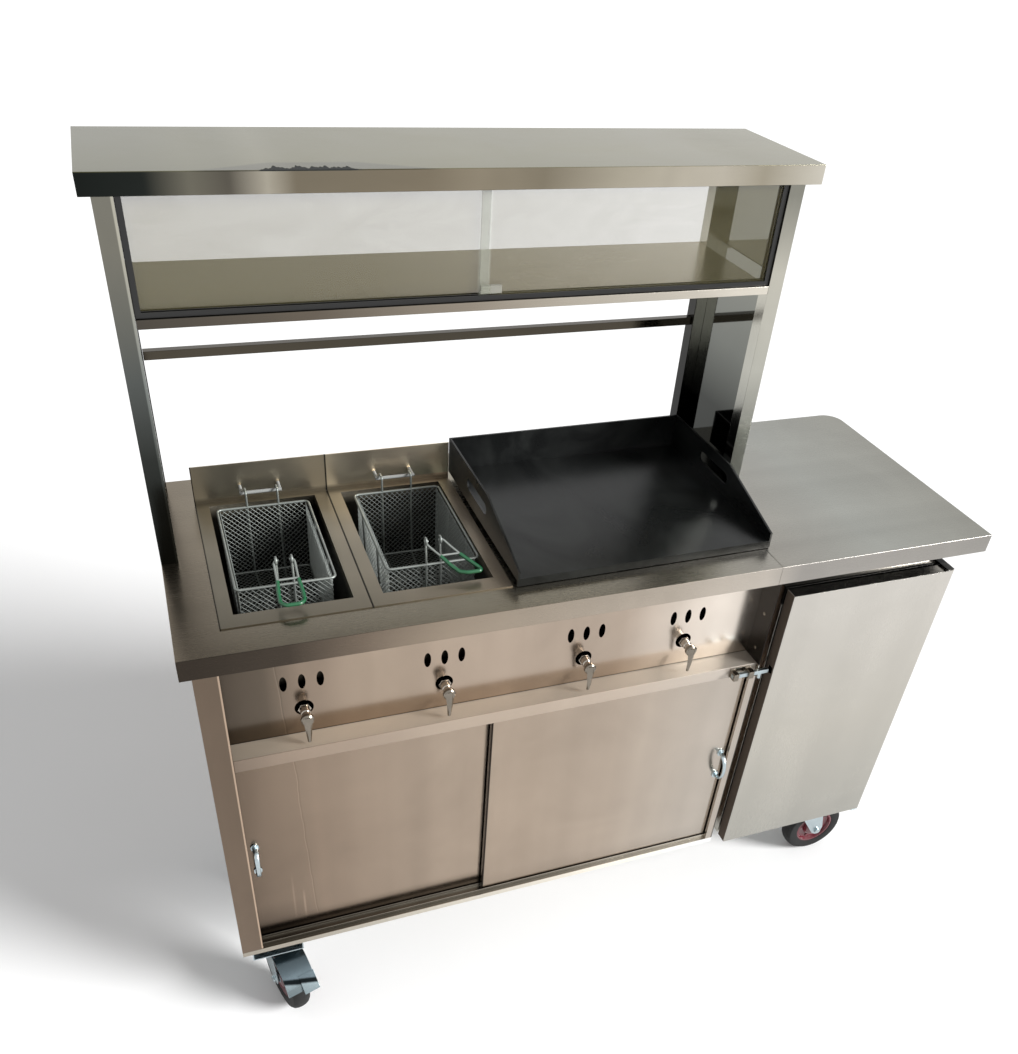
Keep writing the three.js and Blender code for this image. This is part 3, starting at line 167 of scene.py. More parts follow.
class Finish(Tree):
    """A material being put together around one Principled shader, kept by its name."""

    def __init__(self, name, **constants):
        self.material = bpy.data.materials.new(name)
        self.material.use_nodes = True
        super().__init__(self.material.node_tree)
        self.shader = self.node("ShaderNodeBsdfPrincipled", {}, {})
        self.node("ShaderNodeOutputMaterial", {}, {"Surface": Value(self, self.shader.outputs["BSDF"])})
        for name_of_socket, value in constants.items():
            self.set(name_of_socket.replace("_", " "), value)
        FINISHES[name] = self.material

    def set(self, name, value):
        self.feed(self.shader.inputs[name], value)

    def place(self):
        return Value(self, self.node("ShaderNodeTexCoord", {}, {}).outputs["Object"])

    def parts_of(self, vector):
        made = self.node("ShaderNodeSeparateXYZ", {}, {0: vector})
        return [Value(self, output) for output in made.outputs]

    def scaled(self, vector, scale):
        return self.value_of("ShaderNodeMapping", {}, {"Vector": vector, "Scale": scale})

    def noise(self, vector, scale, detail, rough=0.5, warp=0.0):
        return self.value_of("ShaderNodeTexNoise", {}, {
            "Vector": vector, "Scale": scale, "Detail": detail, "Roughness": rough, "Distortion": warp})

    def range_of(self, value, start, end, low_end=0.0, high_end=1.0):
        """The value's way from start to end, held at its ends."""
        return self.value_of("ShaderNodeMapRange", {"clamp": True}, {
            0: value, 1: start, 2: end, 3: low_end, 4: high_end})

    def ramp(self, value, stops):
        return self.value_of("ShaderNodeValToRGB", {"stops": stops}, {0: value})

    def mix(self, factor, first, second):
        """Two colours through one Mix node."""
        made = self.node("ShaderNodeMix", {"data_type": "RGBA"}, {0: factor, 6: first, 7: second})
        return Value(self, made.outputs[2])

    def shaded(self, colour, amount):
        """A colour made lighter or darker."""
        return self.value_of("ShaderNodeVectorMath", {"operation": "SCALE"}, {0: colour, "Scale": amount})

    def bump(self, height, strength, depth):
        self.set("Normal", self.value_of("ShaderNodeBump", {}, {
            "Height": height, "Strength": strength, "Distance": depth}))


# Finishes

def light(red, green, blue):
    """A colour as it looks on screen, from 0 to 255, as amounts of light."""
    shares = [value / 255 for value in (red, green, blue)]
    return [v / 12.92 if v <= 0.04045 else ((v + 0.055) / 1.055) ** 2.4 for v in shares]


X, Y, Z = range(3)

# Grain that runs along one axis
ALONG_X = (0.02, 1, 1)
ALONG_Z = (1, 1, 0.02)

# Patterns of brushed steel: how much each changes the shade, the height and the gloss
LINE_SHADE = 0.10
BAND_SHADE = 0.30
CLOUD_SHADE = 0.34
LINE_HEIGHT = 0.4
LINE_GLOSS = 0.12
CLOUD_GLOSS = 0.16
COVER_GLOSS = 0.7
BAND_SCALE = 16
STEEL_TOOTH = 0.06 * MM

# Patterns of plate
SPANGLE_SCALE = 240
SPANGLE_GLOSS = 0.1
PLATE_CLOUD_SCALE = 45
PLATE_CLOUD_GLOSS = 0.2
PLATE_TOOTH = 0.05 * MM

# Patterns of coated iron
COATING_IOR = 1.4
IRON_TOOTH_SCALE = 900
IRON_TOOTH_GLOSS = 0.10
RUBBED_SCALE = 9
RUBBED_STRETCH = (1, 0.5, 1)
RUBBED_RANGE = (0.42, 0.75)
RUBBED_GLOSS = 0.3
DULL_GLOSS = 0.45

# Patterns of plastic and rubber
MOULD_GRAIN_SHADE = 0.1
MOULD_CLOUD_SCALE = 30
MOULD_CLOUD_SHADE = 0.2
MOULD_CLOUD_GLOSS = 0.15

# Patterns of glass
GLASS_IOR = 1.45
GLASS_ROUGH = 0.03
SMEAR_SCALE = 7
SMEAR_STRETCH = (1, 1, 2.4)
SMEAR_ROUGH = 0.14

# Marks on the sheets: how softly they end, and a distance past the whole cart
MARK_SOFT = 0.6 * MM
FINE_SOFT = 0.3 * MM
FAR = 10

# The edge that protective film leaves: its waves, the painted highlight along it and the painted shadow
# beside it
FILM_WAVES = 16
FILM_SWING = 9 * MM
FILM_SOFT = 2 * MM
FILM_LINE = 0.9 * MM
FILM_SHADOW = (1.2 * MM, 3 * MM)
FILM_LIGHTER = 0.45
FILM_DARKER = 0.22

# Film on the canopy: the torn remnant, and the loose part round it
TORN_SPAN = (0.18, 0.275)
TORN_REACH = 75 * MM
TORN_LUMPS = 80
TORN_SHARE = 0.34
TORN_SOFT = 10 * MM
TORN_END = 2 * MM
LOOSE_SPAN = (0.14, 0.33)
LOOSE_REACH = 36 * MM
LOOSE_DARKER = 0.45
LOOSE_SOFT = 45 * MM
LOOSE_END = 8 * MM

# Body: widths of the right stile's painted shade and of its lit stretch, of the painted highlight on
# the left stile's edge, and the height from which the left stile has painted shade
STILE_SHADE = 3.5 * MM
STILE_LIT = 18 * MM
STILE_GLINT = 2.4 * MM
STILE_PAINTED_SHADE_FROM = 0.55
STILE_FADE = 0.15

# Control panel: its film's edge from the worktop's left end and up from the floor, and its dark foot
PANEL_FILM = 0.1158
PANEL_FILM_TOP = 0.712
PANEL_FILM_LEAN = 0.05
PANEL_FOOT = 1.2 * MM
PANEL_FOOT_SOFT = 0.8 * MM

# Doors: the rear door's film, the painted shade on the front door's edge, and (height, softness) of the
# painted shade at the feet
DOOR_FILM = 0.1242
DOOR_FILM_LEAN = 0.033
DOOR_EDGE = 2.4 * MM
DOOR_CORNER = 0.12
DOOR_CORNER_FOOT = (44 * MM, 34 * MM)
REAR_DOOR_FOOT = (22 * MM, 18 * MM)
FRONT_DOOR_FOOT = (3 * MM, 8 * MM)

# Painted upright glints low on the rear door: how much lighter, where along the cart, how high over the
# door's foot, and how softly they end to the sides and upwards
DOOR_GLINTS = (
    (2.6, (0.1035, 0.1045), (0.055, 0.095), 1.6 * MM, 45 * MM),
    (4.0, (0.119, 0.120), (0.045, 0.07), 1.8 * MM, 28 * MM))

# Tanks: the painted shade on the sides under the worktop, the painted highlight on the splash plates'
# tops, the painted shade on the tanks' left edges, and the rack's wire by its distance before the plates'
# backs
TANK_SHADE = 18 * MM
TANK_SHADE_SOFT = 6 * MM
SPLASH_DEPTH = 3.6 * MM
SPLASH_FOOT = 8 * MM
SPLASH_SOFT = (0.5 * MM, 3 * MM)
TANK_EDGE = 1.3 * MM
TANK_EDGE_SOFT = 0.5 * MM
RACK_FRONT = 60 * MM
RACK_BACK = 4.5 * MM
RACK_FOOT = 20 * MM

# Other marks: posts, door track, side cabinet, griddle, and where the display's tones change
POST_GLINT = 3 * MM
REAR_POST_DEPTH = 24 * MM
TRACK_GLINT = 1.4 * MM
CABINET_GAP = (0.5 * MM, 8 * MM)
CABINET_GAP_HEIGHT = 30 * MM
CABINET_EDGE = 0.8 * MM
CABINET_EDGE_SOFT = 0.4 * MM
GRIDDLE_EDGE = 0.8 * MM
DISPLAY_MIDDLE = 0.4
CANOPY_SKIN = 0.4 * MM

# Tones of the sheets as they look on screen, from 0 to 255, by the distance in metres along one
# axis: from the worktop's left end, back from its front edge, or up from the floor. These tones are
# painted light: painted reflections and painted shade, such as the dark left ends, the lighter tops,
# the dark slot of the brake, and the lit right posts beside the shaded left ones
DOOR_TONES = (
    (0.05, (114, 100, 87)), (0.15, (140, 124, 109)), (0.35, (161, 146, 131)), (0.48, (166, 151, 136)),
    (0.62, (173, 159, 145)), (0.80, (182, 173, 163)))
PANEL_TONES = (
    (0.03, (76, 68, 60)), (0.10, (94, 85, 75)), (0.15, (139, 124, 110)), (0.25, (163, 147, 131)),
    (0.42, (172, 156, 141)), (0.62, (172, 157, 143)), (0.78, (224, 214, 203)))
LEDGE_TONES = (
    (0.05, (172, 160, 144)), (0.2, (186, 173, 157)), (0.45, (178, 167, 153)), (0.84, (174, 167, 157)))
TRACK_TONES = ((0.02, (118, 113, 104)), (0.3, (146, 141, 132)), (0.84, (200, 195, 186)))
WORKTOP_TONES = (
    (0.0, (122, 112, 98)), (0.15, (140, 133, 119)), (0.4, (150, 144, 130)), (0.75, (152, 148, 138)),
    (0.85, (154, 151, 144)), (1.0, (157, 158, 152)), (1.2, (144, 143, 135)))
FASCIA_TONES = (
    (0.02, (55, 49, 43)), (0.13, (67, 60, 53)), (0.22, (112, 100, 88)), (0.33, (145, 132, 117)),
    (0.65, (170, 160, 148)), (0.80, (188, 180, 170)), (0.86, (156, 152, 147)), (1.2, (150, 147, 142)))
TANK_TONES = ((0.05, (128, 122, 109)), (0.25, (140, 133, 119)), (0.44, (164, 152, 136)))
CANOPY_TONES = (
    (-0.01, (28, 31, 29)), (0.055, (36, 39, 37)), (0.10, (106, 103, 92)), (0.14, (86, 82, 74)),
    (0.18, (162, 156, 142)), (0.21, (115, 107, 92)), (0.36, (119, 110, 94)), (0.42, (136, 127, 110)),
    (0.50, (126, 118, 102)), (0.60, (164, 157, 141)), (0.74, (184, 177, 163)), (0.80, (154, 147, 131)),
    (0.89, (193, 188, 176)))
CANOPY_TOP_TONES = ((0.0, (103, 101, 72)), (0.4, (110, 108, 76)), (0.89, (108, 105, 74)))
SHELF_TONES = (
    (0.02, (84, 79, 62)), (0.3, (110, 102, 84)), (0.5, (142, 134, 116)), (0.84, (186, 179, 162)))
SHELF_FRONT_TONES = (
    (0.02, (74, 70, 64)), (0.22, (100, 92, 82)), (0.42, (146, 137, 124)), (0.84, (212, 206, 194)))
LEFT_POST_TONES = (
    (0.80, (32, 34, 32)), (0.95, (46, 48, 46)), (1.05, (82, 85, 83)), (1.2, (114, 112, 103)))
RIGHT_POST_TONES = (
    (0.80, (90, 92, 90)), (0.90, (108, 109, 104)), (1.0, (176, 175, 166)), (1.14, (184, 181, 170)),
    (1.24, (133, 132, 123)))
MIRROR_TONES = (
    (0.80, (40, 42, 40)), (0.90, (52, 54, 51)), (1.0, (108, 110, 105)), (1.12, (132, 133, 126)),
    (1.25, (136, 135, 126)))
CABINET_TONES = ((0.18, (168, 166, 159)), (0.45, (188, 184, 175)), (0.73, (199, 195, 188)))
BRAKE_TONES = (
    (-0.016, (112, 124, 128)), (-0.002, (128, 140, 144)), (0.0, (20, 24, 26)), (0.004, (20, 24, 26)),
    (0.006, (92, 104, 110)), (0.04, (76, 87, 92)), (0.085, (50, 58, 62)))


def up_to(limit):
    """The stretch of an axis before a place."""
    return -FAR, limit


def past(limit):
    """The stretch of an axis beyond a place."""
    return limit, FAR


def front_face(node):
    """The stretch of Y that holds a piece's front face alone."""
    return up_to(low(node).y + MM)


def tones(axis, table):
    """A base colour that runs along one axis of the cart, with the painted reflections and shade of its
    table.
    """
    def base(finish, place):
        origin = 0 if axis == Z else low("main_worktop")[axis]
        start, end = table[0][0], table[-1][0]
        share = finish.range_of(finish.parts_of(place)[axis], origin + start, origin + end)
        return finish.ramp(share, [((at - start) / (end - start), light(*tone)) for at, tone in table])
    return base


def region(x=None, y=None, z=None, soft=MARK_SOFT, soft_up=None):
    """A mask that is one inside the given stretch of each axis and nought outside."""
    def mask(finish, place):
        made = 1
        for value, stretch, edge in zip(finish.parts_of(place), (x, y, z), (soft, soft, soft_up or soft)):
            if stretch:
                start, end = stretch
                made = made * finish.range_of(value, start - edge, start + edge)
                made = made * finish.range_of(value, end + edge, end - edge)
        return made
    return mask


def front_of(node):
    """A mask of a piece's front face."""
    return region(y=front_face(node))


def patch(share, **where):
    """A mark that makes one region of a sheet lighter or darker."""
    mask = region(**where)
    return lambda finish, place: 1 + (share - 1) * mask(finish, place)


def faced(mask, front, back):
    """Two base colours, one inside a mask and one outside."""
    return lambda finish, place: finish.mix(mask(finish, place), back(finish, place), front(finish, place))


def film_edge(x, z, lean, y):
    """A mark for the faint wavy edge that a protective film leaves, leaning to the right downwards: a
    painted highlight along the edge and a painted shadow beside it.
    """
    mask = region(y=y, soft=FILM_SOFT)

    def mark(finish, place):
        across, _, up = finish.parts_of(place)
        wave = finish.noise(finish.scaled(place, (0, 0, 1)), FILM_WAVES, detail=2)
        off = across - x - (z - up) * lean - (wave - 0.5) * FILM_SWING
        line = finish.range_of(off, -FILM_LINE, 0) * finish.range_of(off, FILM_LINE, 0)
        near, away = FILM_SHADOW
        dark = finish.range_of(off, 0, near) * finish.range_of(off, away, near)
        return 1 + (FILM_LIGHTER * line - FILM_DARKER * dark) * mask(finish, place)
    return mark


def on_canopy(span, soft):
    """A mask of the canopy's top over one stretch of its length."""
    left = low("main_worktop").x
    top = past(high("canopy").z - MM)
    return region(x=(left + span[0], left + span[1]), z=top, soft=soft, soft_up=FINE_SOFT)


def torn_film(finish, place):
    """A mask of the dark remnant of film along the canopy's front edge."""
    behind = finish.parts_of(place)[Y] - low("canopy").y
    lumps = finish.noise(finish.scaled(place, (1, 0, 0)), TORN_LUMPS, detail=2, rough=0.6)
    torn = on_canopy(TORN_SPAN, TORN_SOFT)(finish, place)
    return finish.range_of(torn * (lumps - TORN_SHARE) * TORN_REACH - behind, 0, TORN_END)


def loose_film(finish, place):
    """A mark for the darker film that has come loose round the torn part."""
    behind = finish.parts_of(place)[Y] - low("canopy").y
    loose = on_canopy(LOOSE_SPAN, LOOSE_SOFT)(finish, place)
    return 1 - LOOSE_DARKER * finish.range_of(loose * LOOSE_REACH - behind, 0, LOOSE_END)


def steel(name, base, grain, rough, marks=(), sheen=1.0, tooth=0.05, metal=1.0, cover=None):
    """Sheet with fine brush lines along one axis, broad soft bands and clouds from handling.

    The base is a colour or a function that makes one. A cover is a mask and a colour: what the mask
    covers is dull and not metal.
    """
    finish = Finish(name, Metallic=metal)
    place = finish.place()
    lines = finish.noise(finish.scaled(place, grain), sizes().brush_lines, detail=2, rough=0.6)
    bands = finish.noise(finish.scaled(place, grain), BAND_SCALE, detail=2)
    clouds = finish.noise(place, sizes().cloud_scale, detail=3, rough=0.6, warp=0.8)
    shade = 1 + sheen * (
        LINE_SHADE * (lines - 0.5) + BAND_SHADE * (bands - 0.5) + CLOUD_SHADE * (clouds - 0.5))
    for mark in marks:
        shade = shade * mark(finish, place)
    if callable(base):
        base = base(finish, place)
    colour = finish.shaded(base, shade)
    gloss = rough + LINE_GLOSS * (lines - 0.5) + CLOUD_GLOSS * (clouds - 0.5)
    if cover:
        share = cover[0](finish, place)
        colour = finish.mix(share, colour, cover[1])
        gloss = gloss + COVER_GLOSS * share
        finish.set("Metallic", metal * (1 - share))
    finish.set("Base Color", colour)
    finish.set("Roughness", gloss)
    if tooth:
        finish.bump(LINE_HEIGHT * lines + bands, tooth, STEEL_TOOTH)


def plated(name, tint, rough, blotch_share=0.25, metal=1.0):
    """Zinc or chrome plate: small cloudy spangle and broader clouds."""
    finish = Finish(name, Metallic=metal)
    place = finish.place()
    spangle = finish.noise(place, SPANGLE_SCALE, detail=3, rough=0.6, warp=0.3)
    clouds = finish.noise(place, PLATE_CLOUD_SCALE, detail=3, rough=0.6)
    shade = 1 - blotch_share * (spangle - 0.5) - blotch_share * (clouds - 0.5)
    finish.set("Base Color", finish.shaded(tint, shade))
    finish.set("Roughness", rough + PLATE_CLOUD_GLOSS * (clouds - 0.5) + SPANGLE_GLOSS * (spangle - 0.5))
    finish.bump(spangle, strength=0.15, depth=PLATE_TOOTH)


def black_iron(name, tint, sheen, rough, dull=None):
    """Coated iron plate: dark, lightly oiled, with a fine tooth and paler rubbed patches.

    Dull is a mask for the faces that are not oiled.
    """
    finish = Finish(name, Metallic=0.0, IOR=COATING_IOR)
    place = finish.place()
    tooth = finish.noise(place, IRON_TOOTH_SCALE, detail=3, rough=0.7)
    stretched = finish.scaled(place, RUBBED_STRETCH)
    rubbed = finish.noise(stretched, RUBBED_SCALE, detail=4, rough=0.6, warp=0.8)
    finish.set("Base Color", finish.mix(finish.range_of(rubbed, *RUBBED_RANGE), tint, sheen))
    gloss = rough + RUBBED_GLOSS * (rubbed - 0.5) + IRON_TOOTH_GLOSS * (tooth - 0.5)
    if dull:
        gloss = gloss + DULL_GLOSS * dull(finish, place)
    finish.set("Roughness", gloss)
    finish.bump(tooth, strength=0.25, depth=PLATE_TOOTH)


def moulded(name, tint, rough, grain_scale=700, depth=0.03 * MM, coat=0.0):
    """Plastic or rubber with a fine moulded grain and a slight uneven gloss."""
    finish = Finish(name, Coat_Weight=coat)
    place = finish.place()
    grain = finish.noise(place, grain_scale, detail=2, rough=0.6)
    clouds = finish.noise(place, MOULD_CLOUD_SCALE, detail=3, rough=0.6)
    shade = 1 - MOULD_CLOUD_SHADE * (clouds - 0.5) - MOULD_GRAIN_SHADE * (grain - 0.5)
    finish.set("Base Color", finish.shaded(tint, shade))
    finish.set("Roughness", rough + MOULD_CLOUD_GLOSS * (clouds - 0.5))
    finish.bump(grain, strength=0.3, depth=depth)


def glass(name, tint, smear_share, left_alpha, right_alpha):
    """A thin clear pane: mostly see-through, with a grey tint that grows to the left as a painted dark
    reflection, and smears that catch the light.
    """
    finish = Finish(name, IOR=GLASS_IOR)
    place = finish.place()
    stretched = finish.scaled(place, SMEAR_STRETCH)
    smears = finish.noise(stretched, SMEAR_SCALE, detail=4, rough=0.65, warp=1.2)
    start, end = low("left_glass_pane").x, high("right_glass_pane").x
    # Less see-through to the left: a painted dark reflection
    alpha = finish.range_of(finish.parts_of(place)[X], start, end, left_alpha, right_alpha)
    overlap = region(x=(low("right_glass_pane").x, high("left_glass_pane").x), soft=FINE_SOFT)
    finish.set("Base Color", finish.mix(overlap(finish, place), tint, colours().overlap))
    finish.set("Roughness", GLASS_ROUGH + SMEAR_ROUGH * smears)
    finish.set("Alpha", alpha + smear_share * (smears - 0.5))


def body_marks():
    """Painted shade in the recess beside the control panel and on stretches of the two stiles, and a painted
    highlight along the left stile's edge.
    """
    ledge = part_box("door_ledge")
    under_ledge = up_to(ledge[0].z)
    right_stile, right_front = low("right_side_panel").x, front_face("right_side_panel")
    left_stile, left_front = high("left_side_panel").x, front_face("left_side_panel")
    beside_doors = (low("left_sliding_door").z, high("control_panel").z)
    return (
        patch(0.06, x=past(ledge[1].x - MM), z=past(ledge[1].z)),
        patch(0.5, x=(right_stile - MM, right_stile + STILE_SHADE), y=right_front, z=under_ledge),
        patch(0.10, x=past(right_stile + STILE_LIT), y=right_front, z=under_ledge),
        patch(0.68, x=up_to(left_stile), y=left_front, z=past(STILE_PAINTED_SHADE_FROM), soft=STILE_FADE),
        patch(3.0, x=(left_stile - STILE_GLINT, left_stile + MM), y=left_front, z=beside_doors,
              soft=FINE_SOFT),
    )


def panel_marks():
    """The film's edge near the panel's left end, and the dark line along its foot."""
    return (
        film_edge(low("main_worktop").x + PANEL_FILM, PANEL_FILM_TOP, PANEL_FILM_LEAN,
                  up_to(high("control_panel").y)),
        patch(0.15, z=up_to(low("control_panel").z + PANEL_FOOT), soft=PANEL_FOOT_SOFT),
    )


def door_marks():
    """The film's edge, painted shade low down and painted glints on the rear door, and painted shade along
    the front door's left edge and foot.
    """
    left = low("main_worktop").x
    foot = low("left_sliding_door").z
    front_door = low("right_sliding_door")
    plane = low("left_sliding_door").y
    rear = past(plane - MM)
    return (
        film_edge(left + DOOR_FILM, high("left_sliding_door").z, DOOR_FILM_LEAN, rear),
        patch(0.05, x=(front_door.x - MM, front_door.x + DOOR_EDGE), y=up_to(plane)),
        patch(0.06, x=up_to(left + DOOR_CORNER), y=rear, z=up_to(foot + DOOR_CORNER_FOOT[0]),
              soft=DOOR_CORNER_FOOT[1]),
        patch(0.06, y=rear, z=up_to(foot + REAR_DOOR_FOOT[0]), soft=REAR_DOOR_FOOT[1]),
        patch(0.42, y=up_to(plane - MM), z=up_to(front_door.z + FRONT_DOOR_FOOT[0]),
              soft=FRONT_DOOR_FOOT[1]),
        *(patch(share, x=(left + across[0], left + across[1]), y=rear, z=(foot + up[0], foot + up[1]),
                soft=soft, soft_up=soft_up) for share, across, up, soft, soft_up in DOOR_GLINTS),
    )


def tank_marks():
    """Painted shade on the sides under the worktop and on the tanks' left edges, and painted highlights on
    the tops of the splash plates.
    """
    splash = {"y": past(high("left_fryer_tank").y - SPLASH_DEPTH),
              "z": past(high("main_worktop").z + SPLASH_FOOT),
              "soft": SPLASH_SOFT[0], "soft_up": SPLASH_SOFT[1]}
    edges = [low(f"{side}_fryer_tank").x for side in ("left", "right")]
    return (
        patch(0.12, z=up_to(low("main_worktop").z + TANK_SHADE), soft=TANK_SHADE_SOFT),
        patch(2.1, **splash),
        patch(1.5, x=past(edges[1]), **splash),
        *(patch(0.06, x=(edge - MM, edge + TANK_EDGE), soft=TANK_EDGE_SOFT) for edge in edges),
    )


def rack_wire():
    """A mask of the racks that stand before the splash plates."""
    back = high("left_fryer_tank").y
    return region(y=(back - RACK_FRONT, back - RACK_BACK), z=past(high("main_worktop").z + RACK_FOOT))


def post_marks():
    """A painted highlight on the edge of the left front post, and painted shade on the inner side of the
    right rear one.
    """
    bright = high("left_end_frame").x
    dark, rear_post = low("right_end_frame").x, past(high("right_end_frame").y - REAR_POST_DEPTH)
    return (
        patch(2.4, x=(bright - POST_GLINT, bright + MM), y=front_face("left_end_frame")),
        patch(0.05, x=(dark - MM, dark + MM), y=rear_post, z=up_to(low("display_shelf").z)),
    )


def cabinet_marks():
    """Painted shade in the gap over the cabinet's door and behind its top edge."""
    door = high("cabinet_door")
    before, behind = CABINET_GAP
    return (
        patch(0.05, z=past(door.z + MM)),
        patch(0.05, y=(door.y - before, door.y + behind), z=past(door.z - CABINET_GAP_HEIGHT)),
    )


def cabinet_edge():
    """A mask of the shaded left edge of the cabinet's door."""
    start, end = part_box("cabinet_door")
    return region(x=up_to(start.x + CABINET_EDGE), y=(start.y + MM, end.y), soft=CABINET_EDGE_SOFT)


def make_body_finishes():
    """Sheet of the body, the doors, the worktops, the tanks and the side cabinet."""
    c = colours()
    steel("body_sheet", tones(X, DOOR_TONES), ALONG_Z, rough=0.24, marks=body_marks())
    steel("panel_skin", tones(X, PANEL_TONES), ALONG_Z, rough=0.20, marks=panel_marks())
    steel("door_sheet", tones(X, DOOR_TONES), ALONG_Z, rough=0.20, marks=door_marks())
    # The door track: its tones, and a painted highlight along the front edge of the deck
    steel("track_skin", tones(X, TRACK_TONES), ALONG_X, rough=0.2,
          marks=(patch(2.0, y=up_to(low("floor_deck").y + TRACK_GLINT)),))
    steel("side_sheet", tones(Z, CABINET_TONES), ALONG_Z, rough=0.26, marks=cabinet_marks(), sheen=0.6,
          cover=(cabinet_edge(), c.gap))
    steel("ledge_skin", faced(front_of("door_ledge"), tones(X, DOOR_TONES), tones(X, LEDGE_TONES)), ALONG_X,
          rough=0.36, metal=0.45)
    steel("worktop_sheet", faced(front_of("main_worktop"), tones(X, FASCIA_TONES), tones(X, WORKTOP_TONES)),
          ALONG_X, rough=0.27)
    steel("tank_sheet", tones(X, TANK_TONES), ALONG_X, rough=0.34, marks=tank_marks(),
          cover=(rack_wire(), c.rack))


def make_display_finishes():
    """Polished sheet and glass of the display frame."""
    c = colours()
    canopy_top = region(z=past(high("canopy").z - CANOPY_SKIN))
    right_half = region(x=past(low("main_worktop").x + DISPLAY_MIDDLE))
    steel("canopy_skin", faced(canopy_top, tones(X, CANOPY_TOP_TONES), tones(X, CANOPY_TONES)), ALONG_X,
          rough=0.2, marks=(loose_film,), cover=(torn_film, c.film))
    steel("post_skin", faced(right_half, tones(Z, RIGHT_POST_TONES), tones(Z, LEFT_POST_TONES)), ALONG_Z,
          rough=0.16, marks=post_marks(), tooth=0)
    steel("mirror_skin", tones(Z, MIRROR_TONES), ALONG_Z, rough=0.05, sheen=0.3, tooth=0)
    steel("shelf_skin", faced(front_of("display_shelf"), tones(X, SHELF_FRONT_TONES), tones(X, SHELF_TONES)),
          ALONG_X, rough=0.24, tooth=0)
    # The crossbar's dark colour is painted shade and painted dark reflection on polished steel
    steel("polished_sheet", c.crossbar, ALONG_X, rough=0.12)
    glass("pane_glass", c.pane, smear_share=0.12, left_alpha=0.38, right_alpha=0.20)
    glass("clear_plastic", c.plastic, smear_share=0.2, left_alpha=0.55, right_alpha=0.55)


def make_hardware_finishes():
    """Plate, iron, wire, plastic and rubber of the smaller pieces."""
    c = colours()
    outer_side = region(x=up_to(low("griddle_plate").x + GRIDDLE_EDGE))
    plated("zinc_plate", c.zinc, rough=0.3)
    plated("lever_skin", c.lever, rough=0.22, blotch_share=0.3)
    steel("brake_skin", tones(Y, BRAKE_TONES), ALONG_X, rough=0.24)
    plated("valve_chrome", c.chrome, rough=0.14, blotch_share=0.1)
    plated("basket_wire", c.wire, rough=0.45, blotch_share=0.1, metal=0.55)
    black_iron("burner_iron", c.griddle, c.griddle_sheen, rough=0.55)
    black_iron("griddle_iron", c.griddle, c.griddle_sheen, rough=0.32, dull=outer_side)
    moulded("channel_skin", c.channel, rough=0.35, grain_scale=400)
    moulded("green_sleeve", c.sleeve, rough=0.3, grain_scale=300, depth=0.02 * MM, coat=0.4)
    moulded("black_plastic", c.black, rough=0.35)
    moulded("seal_rubber", c.black, rough=0.75)
    moulded("tyre_rubber", c.tyre, rough=0.85, grain_scale=500, depth=0.04 * MM)
    moulded("wheel_hub", c.hub, rough=0.3, grain_scale=600, coat=0.4)


# Making and finishing pieces

def linked(name, mesh):
    piece = bpy.data.objects.new(name, mesh)
    bpy.context.scene.collection.objects.link(piece)
    return piece


def settled(piece, body, slot, nodes=(), finish=None):
    """Gives a piece its finish, its body and the nodes that it stands for."""
    piece.data.materials.clear()
    piece.data.materials.append(FINISHES[finish or slot])
    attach(piece, body)
    if nodes:
        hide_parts(*nodes)


# Angles at which a mesh is sharp, bevelled or flat, and the steps across a round edge
SMOOTH_ANGLE = math.radians(35)
WHEEL_ANGLE = math.radians(30)
LEVER_ANGLE = math.radians(28)
BEVEL_ANGLE = math.radians(40)
FLAT_ANGLE = math.radians(1)
EDGE_STEPS = 2
FOLD_STEPS = 3

# Points closer than this are one point, in own meshes and in CAD meshes
SAME_POINT = 1e-6
SAME_CAD_POINT = 2e-6


def smooth(mesh, angle=SMOOTH_ANGLE):
    mesh.shade_smooth()
    mesh.set_sharp_from_angle(angle=angle)


def clean(shape):
    """Merges doubled points and turns the faces outwards."""
    bmesh.ops.remove_doubles(shape, verts=shape.verts, dist=SAME_POINT)
    bmesh.ops.recalc_face_normals(shape, faces=shape.faces)


def poured(shape, name):
    """The shape as a mesh of its own. The shape is used up."""
    mesh = bpy.data.meshes.new(name)
    shape.to_mesh(mesh)
    shape.free()
    return mesh


def mesh_from(name, build):
    """A mesh built by a function that fills a bmesh."""
    shape = bmesh.new()
    build(shape)
    clean(shape)
    return poured(shape, name)


def rounded(piece, width, steps=EDGE_STEPS):
    """Breaks the sharp edges, as a folded or deburred edge is."""
    bevel = piece.modifiers.new("Edge", "BEVEL")
    bevel.width = width
    bevel.segments = steps
    bevel.limit_method = "ANGLE"
    bevel.angle_limit = BEVEL_ANGLE
    bevel.harden_normals = True
    bevel.use_clamp_overlap = True


def softened(node, body, slot, width=None, steps=EDGE_STEPS, finish=None):
    """The CAD piece again as one clean mesh with broken edges."""
    shape = bmesh.new()
    shape.from_mesh(frame["nodes"][node].data)
    bmesh.ops.remove_doubles(shape, verts=shape.verts, dist=SAME_CAD_POINT)
    bmesh.ops.dissolve_limit(shape, angle_limit=FLAT_ANGLE, verts=shape.verts, edges=shape.edges)
    mesh = poured(shape, node + "_skin")
    smooth(mesh)
    piece = linked(node + "_skin", mesh)
    rounded(piece, width or sizes().edge_round, steps)
    settled(piece, body, slot, (node,), finish)


def folded(node, body, slot, finish=None):
    """The CAD piece with the round edges of thick or folded metal."""
    softened(node, body, slot, sizes().fold_round, FOLD_STEPS, finish)


def add_box(shape, low_corner, high_corner):
    made = bmesh.ops.create_cube(shape, size=1)
    centre = (Vector(low_corner) + Vector(high_corner)) / 2
    span = Vector(high_corner) - Vector(low_corner)
    for vertex in made["verts"]:
        vertex.co = centre + Vector(a * b for a, b in zip(vertex.co, span))


